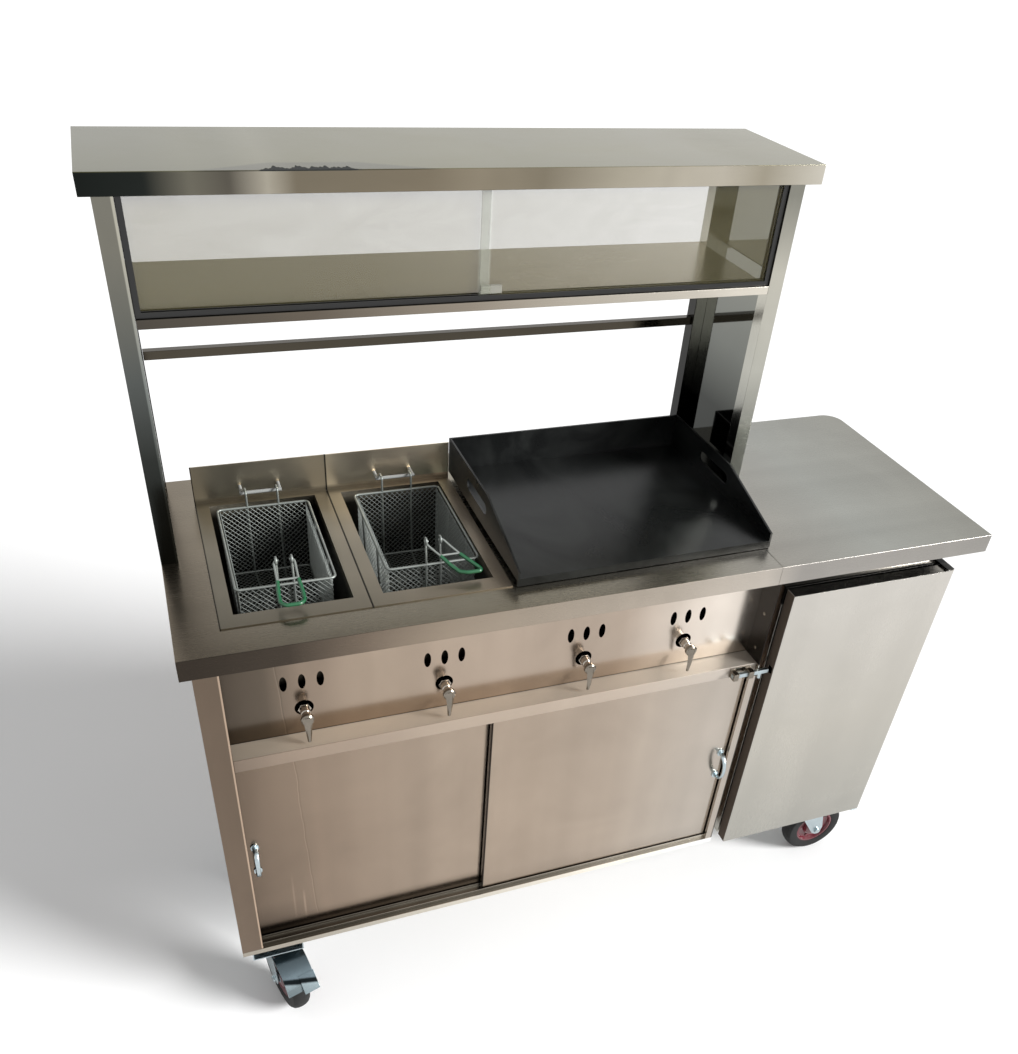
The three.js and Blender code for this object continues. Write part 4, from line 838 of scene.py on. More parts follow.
def bridge(shape, first, second):
    """Four-sided faces between two rings of as many points."""
    for i in range(len(first)):
        j = (i + 1) % len(first)
        shape.faces.new((first[i], first[j], second[j], second[i]))


def add_prism(shape, outline, along):
    """A flat outline of 3-D points pushed along a vector."""
    start = [shape.verts.new(point) for point in outline]
    end = [shape.verts.new(vertex.co + Vector(along)) for vertex in start]
    bridge(shape, start, end)
    shape.faces.new(start[::-1])
    shape.faces.new(end)


def ellipse(half_width, half_height, steps, centre=(0, 0)):
    angles = [2 * math.pi * i / steps for i in range(steps)]
    return [(centre[0] + half_width * math.cos(a), centre[1] + half_height * math.sin(a)) for a in angles]


def ring_round(shape, spin, radius, height, sides):
    """Points in a circle round the Z axis of the spin matrix."""
    return [shape.verts.new(spin @ Vector((x, y, height))) for x, y in ellipse(radius, radius, sides)]


def add_turned(shape, profile, spin, sides):
    """A profile of (radius, height) pairs turned round the matrix's Z axis, from axis to axis."""
    rings = [ring_round(shape, spin, radius, height, sides if radius else 1) for radius, height in profile]
    for first, second in zip(rings, rings[1:]):
        if len(first) == len(second):
            bridge(shape, first, second)
            continue
        for i in range(sides):
            j = (i + 1) % sides
            if len(first) == 1:
                shape.faces.new((first[0], second[i], second[j]))
            else:
                shape.faces.new((first[i], first[j], second[0]))


def add_turned_ring(shape, section, spin, sides):
    """A closed section turned round an axis that it doesn't touch."""
    rings = [ring_round(shape, spin, radius, height, sides) for radius, height in section]
    for first, second in zip(rings, rings[1:] + rings[:1]):
        bridge(shape, first, second)


def facing(origin, direction):
    """A matrix whose Z axis looks along a direction."""
    return Matrix.Translation(origin) @ Vector(direction).to_track_quat("Z", "Y").to_matrix().to_4x4()


def arc(centre, radius, start, end, steps):
    """Points of an arc in a plane, angles in degrees."""
    angles = [math.radians(start + (end - start) * i / steps) for i in range(steps + 1)]
    return [(centre[0] + radius * math.cos(a), centre[1] + radius * math.sin(a)) for a in angles]


def oval(width, height, steps):
    """The outline of a plate with round ends."""
    radius = width / 2
    straight = height / 2 - radius
    return arc((0, straight), radius, 0, 180, steps) + arc((0, -straight), radius, 180, 360, steps)


def add_swept(shape, path, side, section):
    """A section carried along a path that lies square to the side vector.

    The path holds (point, scale) pairs, and the section (across, out) pairs.
    """
    rings = []
    for i, (point, scale) in enumerate(path):
        before = Vector(path[max(i - 1, 0)][0])
        after = Vector(path[min(i + 1, len(path) - 1)][0])
        out = (after - before).cross(side).normalized()
        rings.append([
            shape.verts.new(Vector(point) + side * across * scale[0] + out * away * scale[1])
            for across, away in section])
    for first, second in zip(rings, rings[1:]):
        bridge(shape, first, second)
    shape.faces.new(rings[0][::-1])
    shape.faces.new(rings[-1])


def joined(name, pieces):
    """Several loose objects made one mesh at the origin."""
    shape = bmesh.new()
    for piece in pieces:
        shape.from_mesh(piece.data)
        bpy.data.objects.remove(piece)
    return linked(name, poured(shape, name))


# Geometry Nodes

class Nodes(Tree):
    """A Geometry Nodes tree with named inputs."""

    def __init__(self, name, inputs):
        super().__init__(bpy.data.node_groups.new(name, "GeometryNodeTree"))
        face = self.tree.interface
        for label, kind in [("Geometry", "Geometry"), *inputs, ("Finish", "Material")]:
            face.new_socket(label, in_out="INPUT", socket_type="NodeSocket" + kind)
        face.new_socket("Geometry", in_out="OUTPUT", socket_type="NodeSocketGeometry")
        self.given = self.node("NodeGroupInput", {}, {})

    def take(self, label):
        return Value(self, self.given.outputs[label])

    def grow(self, kind, inputs, **settings):
        return self.value_of("GeometryNode" + kind, settings, inputs)

    def join(self, *parts):
        made = self.node("GeometryNodeJoinGeometry", {}, {})
        for part in parts:
            self.feed(made.inputs[0], part)
        return Value(self, made.outputs[0])

    def finished(self, geometry):
        """The tree, which ends in plain mesh with its finish."""
        whole = self.grow("RealizeInstances", {0: geometry})
        dressed = self.grow("SetMaterial", {"Geometry": whole, "Material": self.take("Finish")})
        self.node("NodeGroupOutput", {}, {0: dressed})
        return self.tree


def grown(name, seed_mesh, tree, values):
    """Runs a tree on a seed mesh and keeps the result as a plain mesh object."""
    seed = linked(name + "_seed", seed_mesh)
    modifier = seed.modifiers.new("Nodes", "NODES")
    modifier.node_group = tree
    for item in tree.interface.items_tree:
        if item.item_type == "SOCKET" and item.in_out == "INPUT" and item.name in values:
            modifier[item.identifier] = values[item.name]
    bpy.context.view_layer.update()
    evaluated = seed.evaluated_get(bpy.context.evaluated_depsgraph_get())
    mesh = bpy.data.meshes.new_from_object(evaluated)
    mesh.name = name
    seed.modifiers.remove(modifier)
    bpy.data.objects.remove(seed)
    if not mesh.polygons:
        raise RuntimeError(f"{name} came out empty")
    return linked(name, mesh)


def wire_tree():
    """Round wire along every polyline of the seed mesh, its corners bent to a radius."""
    n = Nodes("round_wire", [("Wire Radius", "Float"), ("Bend Radius", "Float"), ("Sides", "Int")])
    path = n.grow("MeshToCurve", {0: n.take("Geometry")})
    bent = n.grow("FilletCurve", {
        "Curve": path, "Count": 5, "Radius": n.take("Bend Radius"), "Limit Radius": True}, mode="POLY")
    ring = n.grow("CurvePrimitiveCircle", {"Resolution": n.take("Sides"), "Radius": n.take("Wire Radius")})
    tube = n.grow("CurveToMesh", {"Curve": bent, "Profile Curve": ring, "Fill Caps": True})
    return n.finished(n.grow("SetShadeSmooth", {"Geometry": tube, "Shade Smooth": True}))


# A domed head's crown and stem, as shares of its radius and height
HEAD_CROWN_SHARE = 0.86
HEAD_STEM_SHARE = 0.8


def stud_tree():
    """A low domed head on every point of the seed mesh, all looking one way."""
    n = Nodes("domed_heads", [("Radius", "Float"), ("Height", "Float"), ("Facing", "Vector")])
    radius, height = n.take("Radius"), n.take("Height")
    stem = n.grow("MeshCylinder", {
        "Vertices": 20, "Radius": radius, "Depth": height * HEAD_STEM_SHARE}, fill_type="NGON")
    dome = n.grow("MeshUVSphere", {"Segments": 20, "Rings": 8, "Radius": 1.0})
    wide = radius * HEAD_CROWN_SHARE
    scale = n.value_of("ShaderNodeCombineXYZ", {}, {0: wide, 1: wide, 2: height})
    head = n.join(stem, n.grow("Transform", {"Geometry": dome, "Scale": scale}))
    points = n.grow("MeshToPoints", {"Mesh": n.take("Geometry")})
    turn = n.value_of("FunctionNodeAlignRotationToVector", {"axis": "Z"}, {"Vector": n.take("Facing")})
    return n.finished(n.grow("InstanceOnPoints", {"Points": points, "Instance": head, "Rotation": turn}))


def points_mesh(name, points, edges=()):
    mesh = bpy.data.meshes.new(name)
    mesh.from_pydata(points, edges, [])
    return mesh


def wires(name, paths, radius, bend, sides, slot="basket_wire"):
    """Several bent wires in one mesh. A path that ends at its first point is closed."""
    points = []
    edges = []
    for path in paths:
        closed = path[0] == path[-1]
        base = len(points)
        own = path[:-1] if closed else path
        points.extend(own)
        edges.extend((base + i, base + i + 1) for i in range(len(own) - 1))
        if closed:
            edges.append((base + len(own) - 1, base))
    return grown(name, points_mesh(name, points, edges), TREES["wire"], {
        "Wire Radius": radius, "Bend Radius": bend, "Sides": sides, "Finish": FINISHES[slot]})


def studs(name, points, direction, radius, height, slot):
    """Domed heads at points, all looking one way, in one mesh."""
    return grown(name, points_mesh(name, points), TREES["stud"], {
        "Radius": radius, "Height": height, "Facing": tuple(direction), "Finish": FINISHES[slot]})


def crossed_lines(width, height, pitch):
    """Two families of lines at 45 degrees, cut off at a rectangle in X and Z."""
    step = pitch * math.sqrt(2)
    lines = []
    for i in range(1, int((width + height) / step) + 1):
        offset = i * step
        start = (max(0, offset - height), max(0, height - offset))
        end = (min(width, offset), min(height, width - offset + height))
        lines.append([start, end])
        lines.append([(width - x, z) for x, z in (start, end)])
    return lines


TREES = {}


def make_trees():
    TREES.update(wire=wire_tree(), stud=stud_tree())


# Sheet with holes, from a filled outline

def sheet_with_holes(name, outline, holes, thickness, place):
    """A flat sheet drawn in its own X and Y, with holes, raised by its thickness."""
    curve = bpy.data.curves.new(name, "CURVE")
    curve.dimensions = "2D"
    curve.fill_mode = "BOTH"
    curve.extrude = thickness / 2
    for ring in [outline, *holes]:
        spline = curve.splines.new("POLY")
        spline.points.add(len(ring) - 1)
        for point, (x, y) in zip(spline.points, ring):
            point.co = (x, y, 0, 1)
        spline.use_cyclic_u = True
    flat = linked(name + "_outline", curve)
    evaluated = flat.evaluated_get(bpy.context.evaluated_depsgraph_get())
    mesh = bpy.data.meshes.new_from_object(evaluated)
    bpy.data.objects.remove(flat)
    mesh.transform(place @ Matrix.Translation((0, 0, thickness / 2)))
    shape = bmesh.new()
    shape.from_mesh(mesh)
    clean(shape)
    return linked(name, poured(shape, name))


# Body of the cart

def valve_places():
    """Where each valve's axis crosses the front of its lever."""
    return [Vector(joint(f"valve_lever_{i}_turn")["pos_m"]) for i in range(1, 5)]


def make_control_panel():
    """A flat sheet with a round hole for each valve and three vent slots above it."""
    s = sizes()
    start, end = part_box("control_panel")
    outline = [(start.x, start.z), (end.x, start.z), (end.x, end.z), (start.x, end.z)]
    holes = []
    for place in valve_places():
        holes.append(ellipse(s.valve_hole, s.valve_hole, 32, (place.x, place.z)))
        for step in (-1, 0, 1):
            centre = (place.x + step * s.slot_pitch, place.z + s.slot_rise)
            holes.append(ellipse(s.slot_width / 2, s.slot_height / 2, 24, centre))
    lying = Matrix.Translation((0, end.y, 0)) @ Matrix.Rotation(math.radians(90), 4, "X")
    panel = sheet_with_holes("control_panel_skin", outline, holes, end.y - start.y, lying)
    smooth(panel.data)
    settled(panel, "cart", "body_sheet", ("control_panel",), "panel_skin")


# Heights of the three rivets, as shares of the recess beside the control panel
RIVET_SHARES = (0.12, 0.5, 0.88)


def make_rivets():
    """Rivet heads on the wall of the recess beside the control panel."""
    s = sizes()
    wall = high("right_side_panel").x - s.sheet
    middle_y = (low("right_side_panel").y + low("control_panel").y) / 2
    bottom, top = high("door_ledge").z, high("control_panel").z
    points = [(wall, middle_y, bottom + (top - bottom) * share) for share in RIVET_SHARES]
    rivets = studs("recess_rivets", points, -RIGHT, s.rivet_radius, s.rivet_height, "body_sheet")
    settled(rivets, "cart", "body_sheet", finish="lever_skin")


class CART_OT_body(bpy.types.Operator):
    """Side panels, back, deck, rails and the slotted control panel"""

    bl_idname = "food_cart.body"
    bl_label = "Body Panels"

    def execute(self, context):
        for node in ("left_side_panel", "right_side_panel", "back_panel", "burner_rail"):
            softened(node, "cart", "body_sheet")
        for node in ("floor_deck", "door_track"):
            softened(node, "cart", "body_sheet", finish="track_skin")
        softened("joining_channel", "cart", "body_sheet", finish="channel_skin")
        softened("door_ledge", "cart", "polished_sheet", finish="ledge_skin")
        make_control_panel()
        make_rivets()
        return {"FINISHED"}


def make_side_worktop():
    """An upturned folded tray with one round corner at its back right."""
    s = sizes()
    start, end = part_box("side_worktop")

    def outline(inset):
        corner = (end.x - s.worktop_corner, end.y - s.worktop_corner)
        turn = arc(corner, s.worktop_corner - inset, 0, 90, 12)
        return [(start.x + inset, start.y + inset), (end.x - inset, start.y + inset), *turn,
                (start.x + inset, end.y - inset)]

    def build(shape):
        levels = [(0, start.z), (0, end.z), (s.sheet, end.z - s.sheet), (s.sheet, start.z + s.sheet),
                  (s.hem, start.z + s.sheet), (s.hem, start.z)]
        outer_foot, outer_top, inner_top, inner_foot, hem_top, hem_foot = (
            [shape.verts.new((x, y, z)) for x, y in outline(inset)] for inset, z in levels)
        bridge(shape, outer_foot, outer_top)
        bridge(shape, inner_top, inner_foot)
        bridge(shape, inner_foot, hem_top)
        bridge(shape, hem_top, hem_foot)
        bridge(shape, hem_foot, outer_foot)
        shape.faces.new(outer_top)
        shape.faces.new(inner_top)

    tray = linked("side_worktop_skin", mesh_from("side_worktop_skin", build))
    smooth(tray.data)
    rounded(tray, s.fold_round, FOLD_STEPS)
    settled(tray, "cart", "worktop_sheet", ("side_worktop",))


class CART_OT_worktops(bpy.types.Operator):
    """The two worktops, folded down at their edges"""

    bl_idname = "food_cart.worktops"
    bl_label = "Worktops"

    def execute(self, context):
        softened("main_worktop", "cart", "worktop_sheet")
        make_side_worktop()
        return {"FINISHED"}


# Sliding doors and their pulls

# A pull: the least width of its strap as a share, how square its bow is, and as shares of a foot
# or of the strap's thickness, where the bow starts, each foot's plate, and its screw's place
PULL_WAIST_SHARE = 0.75
PULL_BOW_POWER = 0.7
PULL_BOW_START_SHARE = 0.7
PULL_PLATE_SHARE = 1.3
PULL_PLATE_THICK_SHARE = 0.6
PULL_SCREW_SHARE = 0.4


def make_pull(side):
    """A bowed strap between two feet, each held by a screw."""
    s = sizes()
    node = f"{side}_door_pull"
    start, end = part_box(node)
    centre = middle(node)
    half = (end.z - start.z) / 2
    bow = half - s.pull_foot * PULL_BOW_START_SHARE
    out = end.y - start.y - s.pull_thickness

    def build(shape):
        path = []
        for i in range(19):
            angle = math.pi * i / 18
            y = end.y - s.pull_thickness / 2 - out * math.sin(angle) ** PULL_BOW_POWER
            waist = PULL_WAIST_SHARE + (1 - PULL_WAIST_SHARE) * math.cos(angle) ** 2
            path.append(((centre.x, y, centre.z - bow * math.cos(angle)), (waist, 1)))
        add_swept(shape, path, RIGHT, ellipse(s.pull_strap / 2, s.pull_thickness / 2, 16))

    plate_length = s.pull_foot * PULL_PLATE_SHARE
    plate_thickness = s.pull_thickness * PULL_PLATE_THICK_SHARE
    plate = oval(end.x - start.x, plate_length, 8)
    stand_up = Matrix.Rotation(math.radians(90), 4, "X")
    pieces = [linked(f"{side}_pull_arch", mesh_from("arch", build))]
    screws = []
    for direction in (-1, 1):
        place = Matrix.Translation((centre.x, end.y, centre.z + direction * (half - plate_length / 2)))
        pieces.append(sheet_with_holes("foot", plate, [], plate_thickness, place @ stand_up))
        screws.append((centre.x, end.y - s.pull_thickness / 2,
                       centre.z + direction * (half - s.pull_foot * PULL_SCREW_SHARE)))
    pieces.append(studs("screws", screws, -BACK, s.screw_radius, s.screw_height, "zinc_plate"))
    pull = joined(f"{side}_pull_skin", pieces)
    smooth(pull.data)
    settled(pull, f"{side}_sliding_door", "zinc_plate", (node,))


class CART_OT_doors(bpy.types.Operator):
    """The two sliding doors with their arched pulls"""

    bl_idname = "food_cart.doors"
    bl_label = "Sliding Doors"

    def execute(self, context):
        for side in ("left", "right"):
            softened(f"{side}_sliding_door", f"{side}_sliding_door", "door_sheet", sizes().fold_round)
            make_pull(side)
        return {"FINISHED"}


# Gas valves

# A valve from its lever's face backwards: (radius, depth) of its barrel as shares of the barrel's
# radius and of the way to the panel, its six-sided nut, and its jet
BARREL_SHARES = ((0, 0), (0.8, 0), (0.8, 0.35), (1, 0.4), (1, 0.75), (0.85, 0.8))
NUT_SHARES = ((0, 0.8), (1.35, 0.8), (1.35, 1.1), (0, 1.1))
JET_SHARE = 0.5


def pipe_route(start, end, y, z, radius):
    """The gas pipe's middle line: along the panel, then round a bend and out at the back."""
    bend = 2 * radius
    turn = arc((end.x - radius - bend, y + bend), bend, -90, 0, 8)
    return [(start.x, y, z), *((along, deep, z) for along, deep in turn), (end.x - radius, end.y, z)]


def make_valve_train():
    """The gas pipe with its valves, each with a nut behind the panel and a jet."""
    s = sizes()
    start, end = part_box("gas_manifold")
    places = valve_places()
    panel_y = low("control_panel").y
    axis_z = places[0].z
    radius = (end.z - start.z) / 2
    pipe_y = panel_y + s.pipe_setback

    def build(shape):
        route = pipe_route(start, end, pipe_y, axis_z, radius)
        add_swept(shape, [(point, (1, 1)) for point in route], UP, ellipse(radius, radius, 20))
        for place in places:
            valve = facing((place.x, place.y, axis_z), BACK)
            length = pipe_y - place.y
            panel = panel_y - place.y
            barrel = [(s.barrel * r, panel * h) for r, h in BARREL_SHARES]
            add_turned(shape, [*barrel, (barrel[-1][0], length), (0, length)], valve, 28)
            add_turned(shape, [(s.barrel * r, panel * h) for r, h in NUT_SHARES], valve, 6)
            jet = s.barrel * JET_SHARE
            add_turned(shape, [(0, 0), (jet, 0), (jet, s.jet_length), (0, s.jet_length)],
                       facing((place.x, pipe_y, axis_z), BACK), 16)

    piece = linked("valve_train", mesh_from("valve_train", build))
    smooth(piece.data)
    rounded(piece, s.edge_round)
    settled(piece, "cart", "valve_chrome", ("gas_manifold",))


# A lever: (radius, depth) of its boss as shares of its own, its six-cornered section, and how its
# blade starts inside the boss, narrows, swings out and thins on the way to its tip
BOSS_SHARES = ((0, 0), (1, 0), (1, 0.5), (0.8, 0.72), (0, 0.78))
BLADE_SECTION = ((-1, 0), (-0.45, 1), (0.45, 1), (1, 0), (0.45, -1), (-0.45, -1))
BLADE_START_SHARE = 0.6
BLADE_NARROWING = 0.8
BLADE_SWING_SHARE = 0.2
BLADE_THINNING_SHARE = 0.2


def make_lever(number):
    """A round boss with a faceted blade that narrows to its tip."""
    s = sizes()
    node = f"valve_lever_{number}"
    start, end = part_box(node)
    axis = Vector(joint(f"{node}_turn")["pos_m"])
    depth = end.y - start.y
    hub = (end.x - start.x) / 2
    root_z = axis.z + hub * BLADE_START_SHARE

    def build(shape):
        boss = facing((axis.x, end.y, axis.z), -BACK)
        add_turned(shape, [(hub * r, depth * h) for r, h in BOSS_SHARES], boss, 24)
        path = []
        for i in range(9):
            share = i / 8
            width = s.lever_root + (s.lever_tip - s.lever_root) * share ** BLADE_NARROWING
            out = depth * (0.5 + BLADE_SWING_SHARE * math.sin(share * math.pi))
            path.append(((axis.x, end.y - out, root_z + (start.z - root_z) * share),
                         (width / 2, s.lever_thickness * (0.5 - BLADE_THINNING_SHARE * share))))
        add_swept(shape, path, RIGHT, BLADE_SECTION)

    piece = linked(f"{node}_skin", mesh_from(node, build))
    smooth(piece.data, LEVER_ANGLE)
    settled(piece, node, "zinc_plate", (node,), "lever_skin")


class CART_OT_gas(bpy.types.Operator):
    """The gas pipe with its valves, the levers and the burners"""

    bl_idname = "food_cart.gas"
    bl_label = "Gas Valves"

    def execute(self, context):
        make_valve_train()
        for number in range(1, 5):
            make_lever(number)
        for node in ("left_fryer_burner", "right_fryer_burner", "griddle_burner"):
            softened(node, "cart", "burner_iron")
        return {"FINISHED"}


# Side cabinet and latch

class CART_OT_cabinet(bpy.types.Operator):
    """The side cabinet, its hinged door with the seal, the hinges and the latch"""

    bl_idname = "food_cart.cabinet"
    bl_label = "Side Cabinet"

    def execute(self, context):
        softened("cabinet_shell", "cart", "side_sheet")
        folded("cabinet_door", "cabinet_door", "side_sheet")
        folded("door_gasket", "cabinet_door", "seal_rubber")
        softened("hinge_bracket_top", "cart", "zinc_plate", finish="side_sheet")
        softened("hinge_bracket_bottom", "cart", "zinc_plate")
        folded("latch_base", "cart", "zinc_plate", "lever_skin")
        folded("latch_bolt", "latch_bolt", "zinc_plate")
        return {"FINISHED"}


# Upper frame, display and glass

def make_glass_frame():
    """Bottom track and side channels: three thin fins on a base, open between them for the panes."""
    s = sizes()
    start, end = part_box("glass_frame")
    top = start.z + s.glass_track
    fin = s.glass_fin
    pitch = (end.y - start.y - fin) / 2
    left, right = start.x + s.glass_side, end.x - s.glass_side
    outline = [(start.x, start.z), (end.x, start.z), (end.x, end.z), (right, end.z),
               (right, top), (left, top), (left, end.z), (start.x, end.z)]

    def build(shape):
        for i in range(3):
            add_prism(shape, [(x, start.y + i * pitch, z) for x, z in outline], (0, fin, 0))
        add_box(shape, start, (end.x, end.y, start.z + s.edge_round))
        add_box(shape, start, (start.x + s.edge_round, end.y, end.z))
        add_box(shape, (end.x - s.edge_round, start.y, start.z), end)

    frame_piece = linked("glass_frame_skin", mesh_from("glass_frame_skin", build))
    smooth(frame_piece.data)
    settled(frame_piece, "cart", "black_plastic", ("glass_frame",))


class CART_OT_display(bpy.types.Operator):
    """End frames, canopy, display shelf and the sliding glass"""

    bl_idname = "food_cart.display"
    bl_label = "Display Frame"

    def execute(self, context):
        for side in ("left", "right"):
            softened(f"{side}_end_frame", "cart", "polished_sheet", finish="post_skin")
            softened(f"{side}_end_panel", "cart", "polished_sheet", finish="mirror_skin")
        softened("canopy", "cart", "polished_sheet", finish="canopy_skin")
        softened("display_shelf", "cart", "polished_sheet", finish="shelf_skin")
        softened("rear_crossbar", "cart", "polished_sheet")
        make_glass_frame()
        softened("glass_top_track", "cart", "black_plastic", sizes().edge_round / 2)
        for side in ("left", "right"):
            softened(f"{side}_glass_pane", f"{side}_glass_pane", "pane_glass")
        folded("pane_pull", "right_glass_pane", "clear_plastic")
        return {"FINISHED"}


# Fryers, baskets and griddle

def make_splash_gap_shade():
    """A black strip in the gap between the two splash plates: painted shade in that gap."""
    s = sizes()
    left_end = high("left_fryer_tank")
    right_start = low("right_fryer_tank")

    def build(shape):
        add_box(shape, (left_end.x + s.seam_play, left_end.y - s.sheet, high("main_worktop").z + s.sheet),
                (right_start.x - s.seam_play, left_end.y - s.seam_play, left_end.z - s.seam_play))

    seam = linked("splash_gap_shade", mesh_from("splash_gap_shade", build))
    settled(seam, "cart", "seal_rubber")


class CART_OT_fryers(bpy.types.Operator):
    """The two fryer tanks with their splash plates and basket racks"""

    bl_idname = "food_cart.fryers"
    bl_label = "Fryer Tanks"

    def execute(self, context):
        for side in ("left", "right"):
            softened(f"{side}_fryer_tank", "cart", "tank_sheet")
        make_splash_gap_shade()
        return {"FINISHED"}


def net_wall(name, width, height, place):
    """A net of crossed wires between the origin and its far corner, laid in place."""
    s = sizes()
    wall = wires(name, [[(x, (-1) ** i * s.net_wire / 2, z) for x, z in line]
                        for i, line in enumerate(crossed_lines(width, height, s.net_pitch))],
                 s.net_wire, 0, 5)
    wall.data.transform(place)
    return wall


class Basket:
    """The places of one fry basket: its rim, its net inside the rim, its grip's pivot and its rack."""

    def __init__(self, side):
        s = sizes()
        start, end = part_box(f"{side}_basket")
        self.grip = Vector(joint(f"{side}_grip_fold")["pos_m"])
        rim_top = self.grip.z - s.grip_rise
        self.left, self.right = start.x + s.rim_wire, end.x - s.rim_wire
        self.front, self.back = start.y + s.rim_wire, start.y + s.basket_length - s.rim_wire
        self.top = rim_top - s.rim_wire
        self.floor = start.z + s.basket_foot
        self.foot = start.z + s.frame_wire
        self.rack_y = end.y - s.rim_wire
        self.rack_z = rim_top + s.rack_rise

    def nets(self):
        """Four walls and a floor of crossed wires."""
        taper = sizes().basket_taper
        width = self.right - self.left - 2 * taper
        depth = self.back - self.front - 2 * taper
        height = self.top - self.floor
        corner = Matrix.Translation((self.left + taper, self.front + taper, self.floor))
        turned = corner @ Matrix.Rotation(math.radians(90), 4, "Z")
        lying = corner @ Matrix.Rotation(math.radians(-90), 4, "X")
        return [
            net_wall("front", width, height, corner),
            net_wall("rear", width, height, Matrix.Translation((0, depth, 0)) @ corner),
            net_wall("left", depth, height, turned),
            net_wall("right", depth, height, Matrix.Translation((width, 0, 0)) @ turned),
            net_wall("floor", width, depth, lying),
        ]

    def rim(self, inset, z):
        a, b, c, d = self.left + inset, self.right - inset, self.front + inset, self.back - inset
        return [(a, c, z), (b, c, z), (b, d, z), (a, d, z), (a, c, z)]

    def skid(self, share):
        """A wire from rim to rim under the floor, at a share of the basket's length."""
        y = self.front + (self.back - self.front) * share
        taper = sizes().basket_taper
        return [(self.left, y, self.top), (self.left + taper, y, self.foot),
                (self.right - taper, y, self.foot), (self.right, y, self.top)]

    def hook(self, direction):
        """A wire from the rack over the rear rim, down, under the floor and up to an eye of the grip."""
        s = sizes()
        x = self.grip.x + direction * s.hook_spread / 2
        eye_x = self.grip.x + direction * s.grip_spread / 2
        eye = [(eye_x, self.grip.y + y, self.grip.z + z)
               for y, z in arc((0, 0), s.eye_radius, -90, 240, 11)]
        under = self.floor - s.frame_wire
        return [(x, self.rack_y, self.rack_z - s.hook_drop), (x, self.rack_y, self.rack_z),
                (x, self.back, self.rack_z), (x, self.back, self.top),
                (x, self.back - s.basket_taper, under), (eye_x, self.front + s.basket_taper, under),
                (eye_x, self.front, self.top), *eye]


# Places of a basket's skids, as shares of its length
SKID_SHARES = (0.28, 0.72)


def make_basket(side):
    """Woven nets inside two rims, on skids, with wires that run from the hooks to the grip's eyes."""
    s = sizes()
    basket = Basket(side)
    rims = [basket.rim(0, basket.top), basket.rim(s.basket_taper, basket.floor)]
    skids = [basket.skid(share) for share in SKID_SHARES]
    hooks = [basket.hook(direction) for direction in (-1, 1)]
    whole = joined(f"{side}_basket_skin", [
        *basket.nets(),
        wires("rims", rims, s.rim_wire, 4 * s.rim_wire, 10),
        wires("bars", skids + hooks, s.frame_wire, 2 * s.frame_wire, 8)])
    settled(whole, f"{side}_basket", "basket_wire", (f"{side}_basket",))


# Along a grip, as shares of its length: points of the bare stems, the cross bar between them, and
# points of the sleeved bow. The bow's tip has a half width of its own, as a share of its width
GRIP_STEM_SHARES = (0, 0.2, 0.45)
GRIP_BAR_SHARE = 0.4
GRIP_BOW_SHARES = (0.42, 0.7, 0.9, 1)
GRIP_TIP_SHARE = 0.3

# How the grip dips below the straight line from its pivot to its tip
GRIP_DIP_REACH = 1.15
GRIP_DIP_POWER = 0.9


def make_grip(side):
    """A bent wire that folds about the basket's eyes, with a sleeve over its bow."""
    s = sizes()
    node = f"{side}_basket_grip"
    start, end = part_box(node)
    pivot = Vector(joint(f"{side}_grip_fold")["pos_m"])
    half = s.grip_spread / 2 + s.grip_wire * 2
    tip_y, tip_z = start.y + s.grip_wire, start.z + s.grip_wire
    skew = 0 if side == "left" else end.x - s.grip_end / 2 - pivot.x

    def at(direction, share, width):
        dip = min(1, share * GRIP_DIP_REACH) ** GRIP_DIP_POWER
        return (pivot.x + direction * width + skew * share, pivot.y + (tip_y - pivot.y) * share,
                pivot.z + (tip_z - pivot.z) * dip)

    stems = []
    bow = []
    widths = (half, s.grip_end / 2, s.grip_end / 2, s.grip_end * GRIP_TIP_SHARE)
    for direction in (-1, 1):
        hooked = (pivot.x + direction * (half - 4 * s.grip_wire), pivot.y, pivot.z)
        stems.append([hooked, *(at(direction, share, half) for share in GRIP_STEM_SHARES)])
        bow.append([at(direction, share, width) for share, width in zip(GRIP_BOW_SHARES, widths)])
    stems.append([at(direction, GRIP_BAR_SHARE, half) for direction in (-1, 1)])
    wire = wires(f"{side}_grip_wire", stems, s.grip_wire, 3 * s.grip_wire, 10)
    settled(wire, node, "basket_wire")
    round_bow = [*bow[0], *bow[1][::-1]]
    sleeve = wires(f"{side}_grip_sleeve", [round_bow], s.sleeve, 3 * s.sleeve, 14, "green_sleeve")
    settled(sleeve, node, "green_sleeve", (node,))


class CART_OT_baskets(bpy.types.Operator):
    """The fry baskets of woven wire, with their folding grips"""

    bl_idname = "food_cart.baskets"
    bl_label = "Fry Baskets"

    def execute(self, context):
        for side in ("left", "right"):
            make_basket(side)
            make_grip(side)
        return {"FINISHED"}


class CART_OT_griddle(bpy.types.Operator):
    """The folded black griddle plate with its guards"""

    bl_idname = "food_cart.griddle"
    bl_label = "Griddle"

    def execute(self, context):
        folded("griddle_plate", "griddle_plate", "griddle_iron")
        return {"FINISHED"}


# Casters

CASTERS = ("front_left", "rear_left", "front_right", "rear_right")

# A wheel's half section: (radius, width) of its tyre, from the rim's edge to the tread's middle, and
# of its centre, as shares of the wheel's radius and half width
TYRE_SHARES = ((0.64, 0.86), (0.74, 0.98), (0.90, 0.92), (0.96, 0.70), (0.99, 0.36), (1.0, 0.0))
TYRE_SEAT_SHARES = (0.60, 0.6)
HUB_SHARES = (
    (0, 0), (0.63, 0), (0.63, 0.82), (0.58, 0.84), (0.54, 0.50), (0.36, 0.44), (0.31, 0.92), (0.2, 1),
    (0, 1))
CAP_SHARES = ((0, 0), (0.17, 0), (0.17, 1.08), (0.1, 1.2), (0, 1.2))

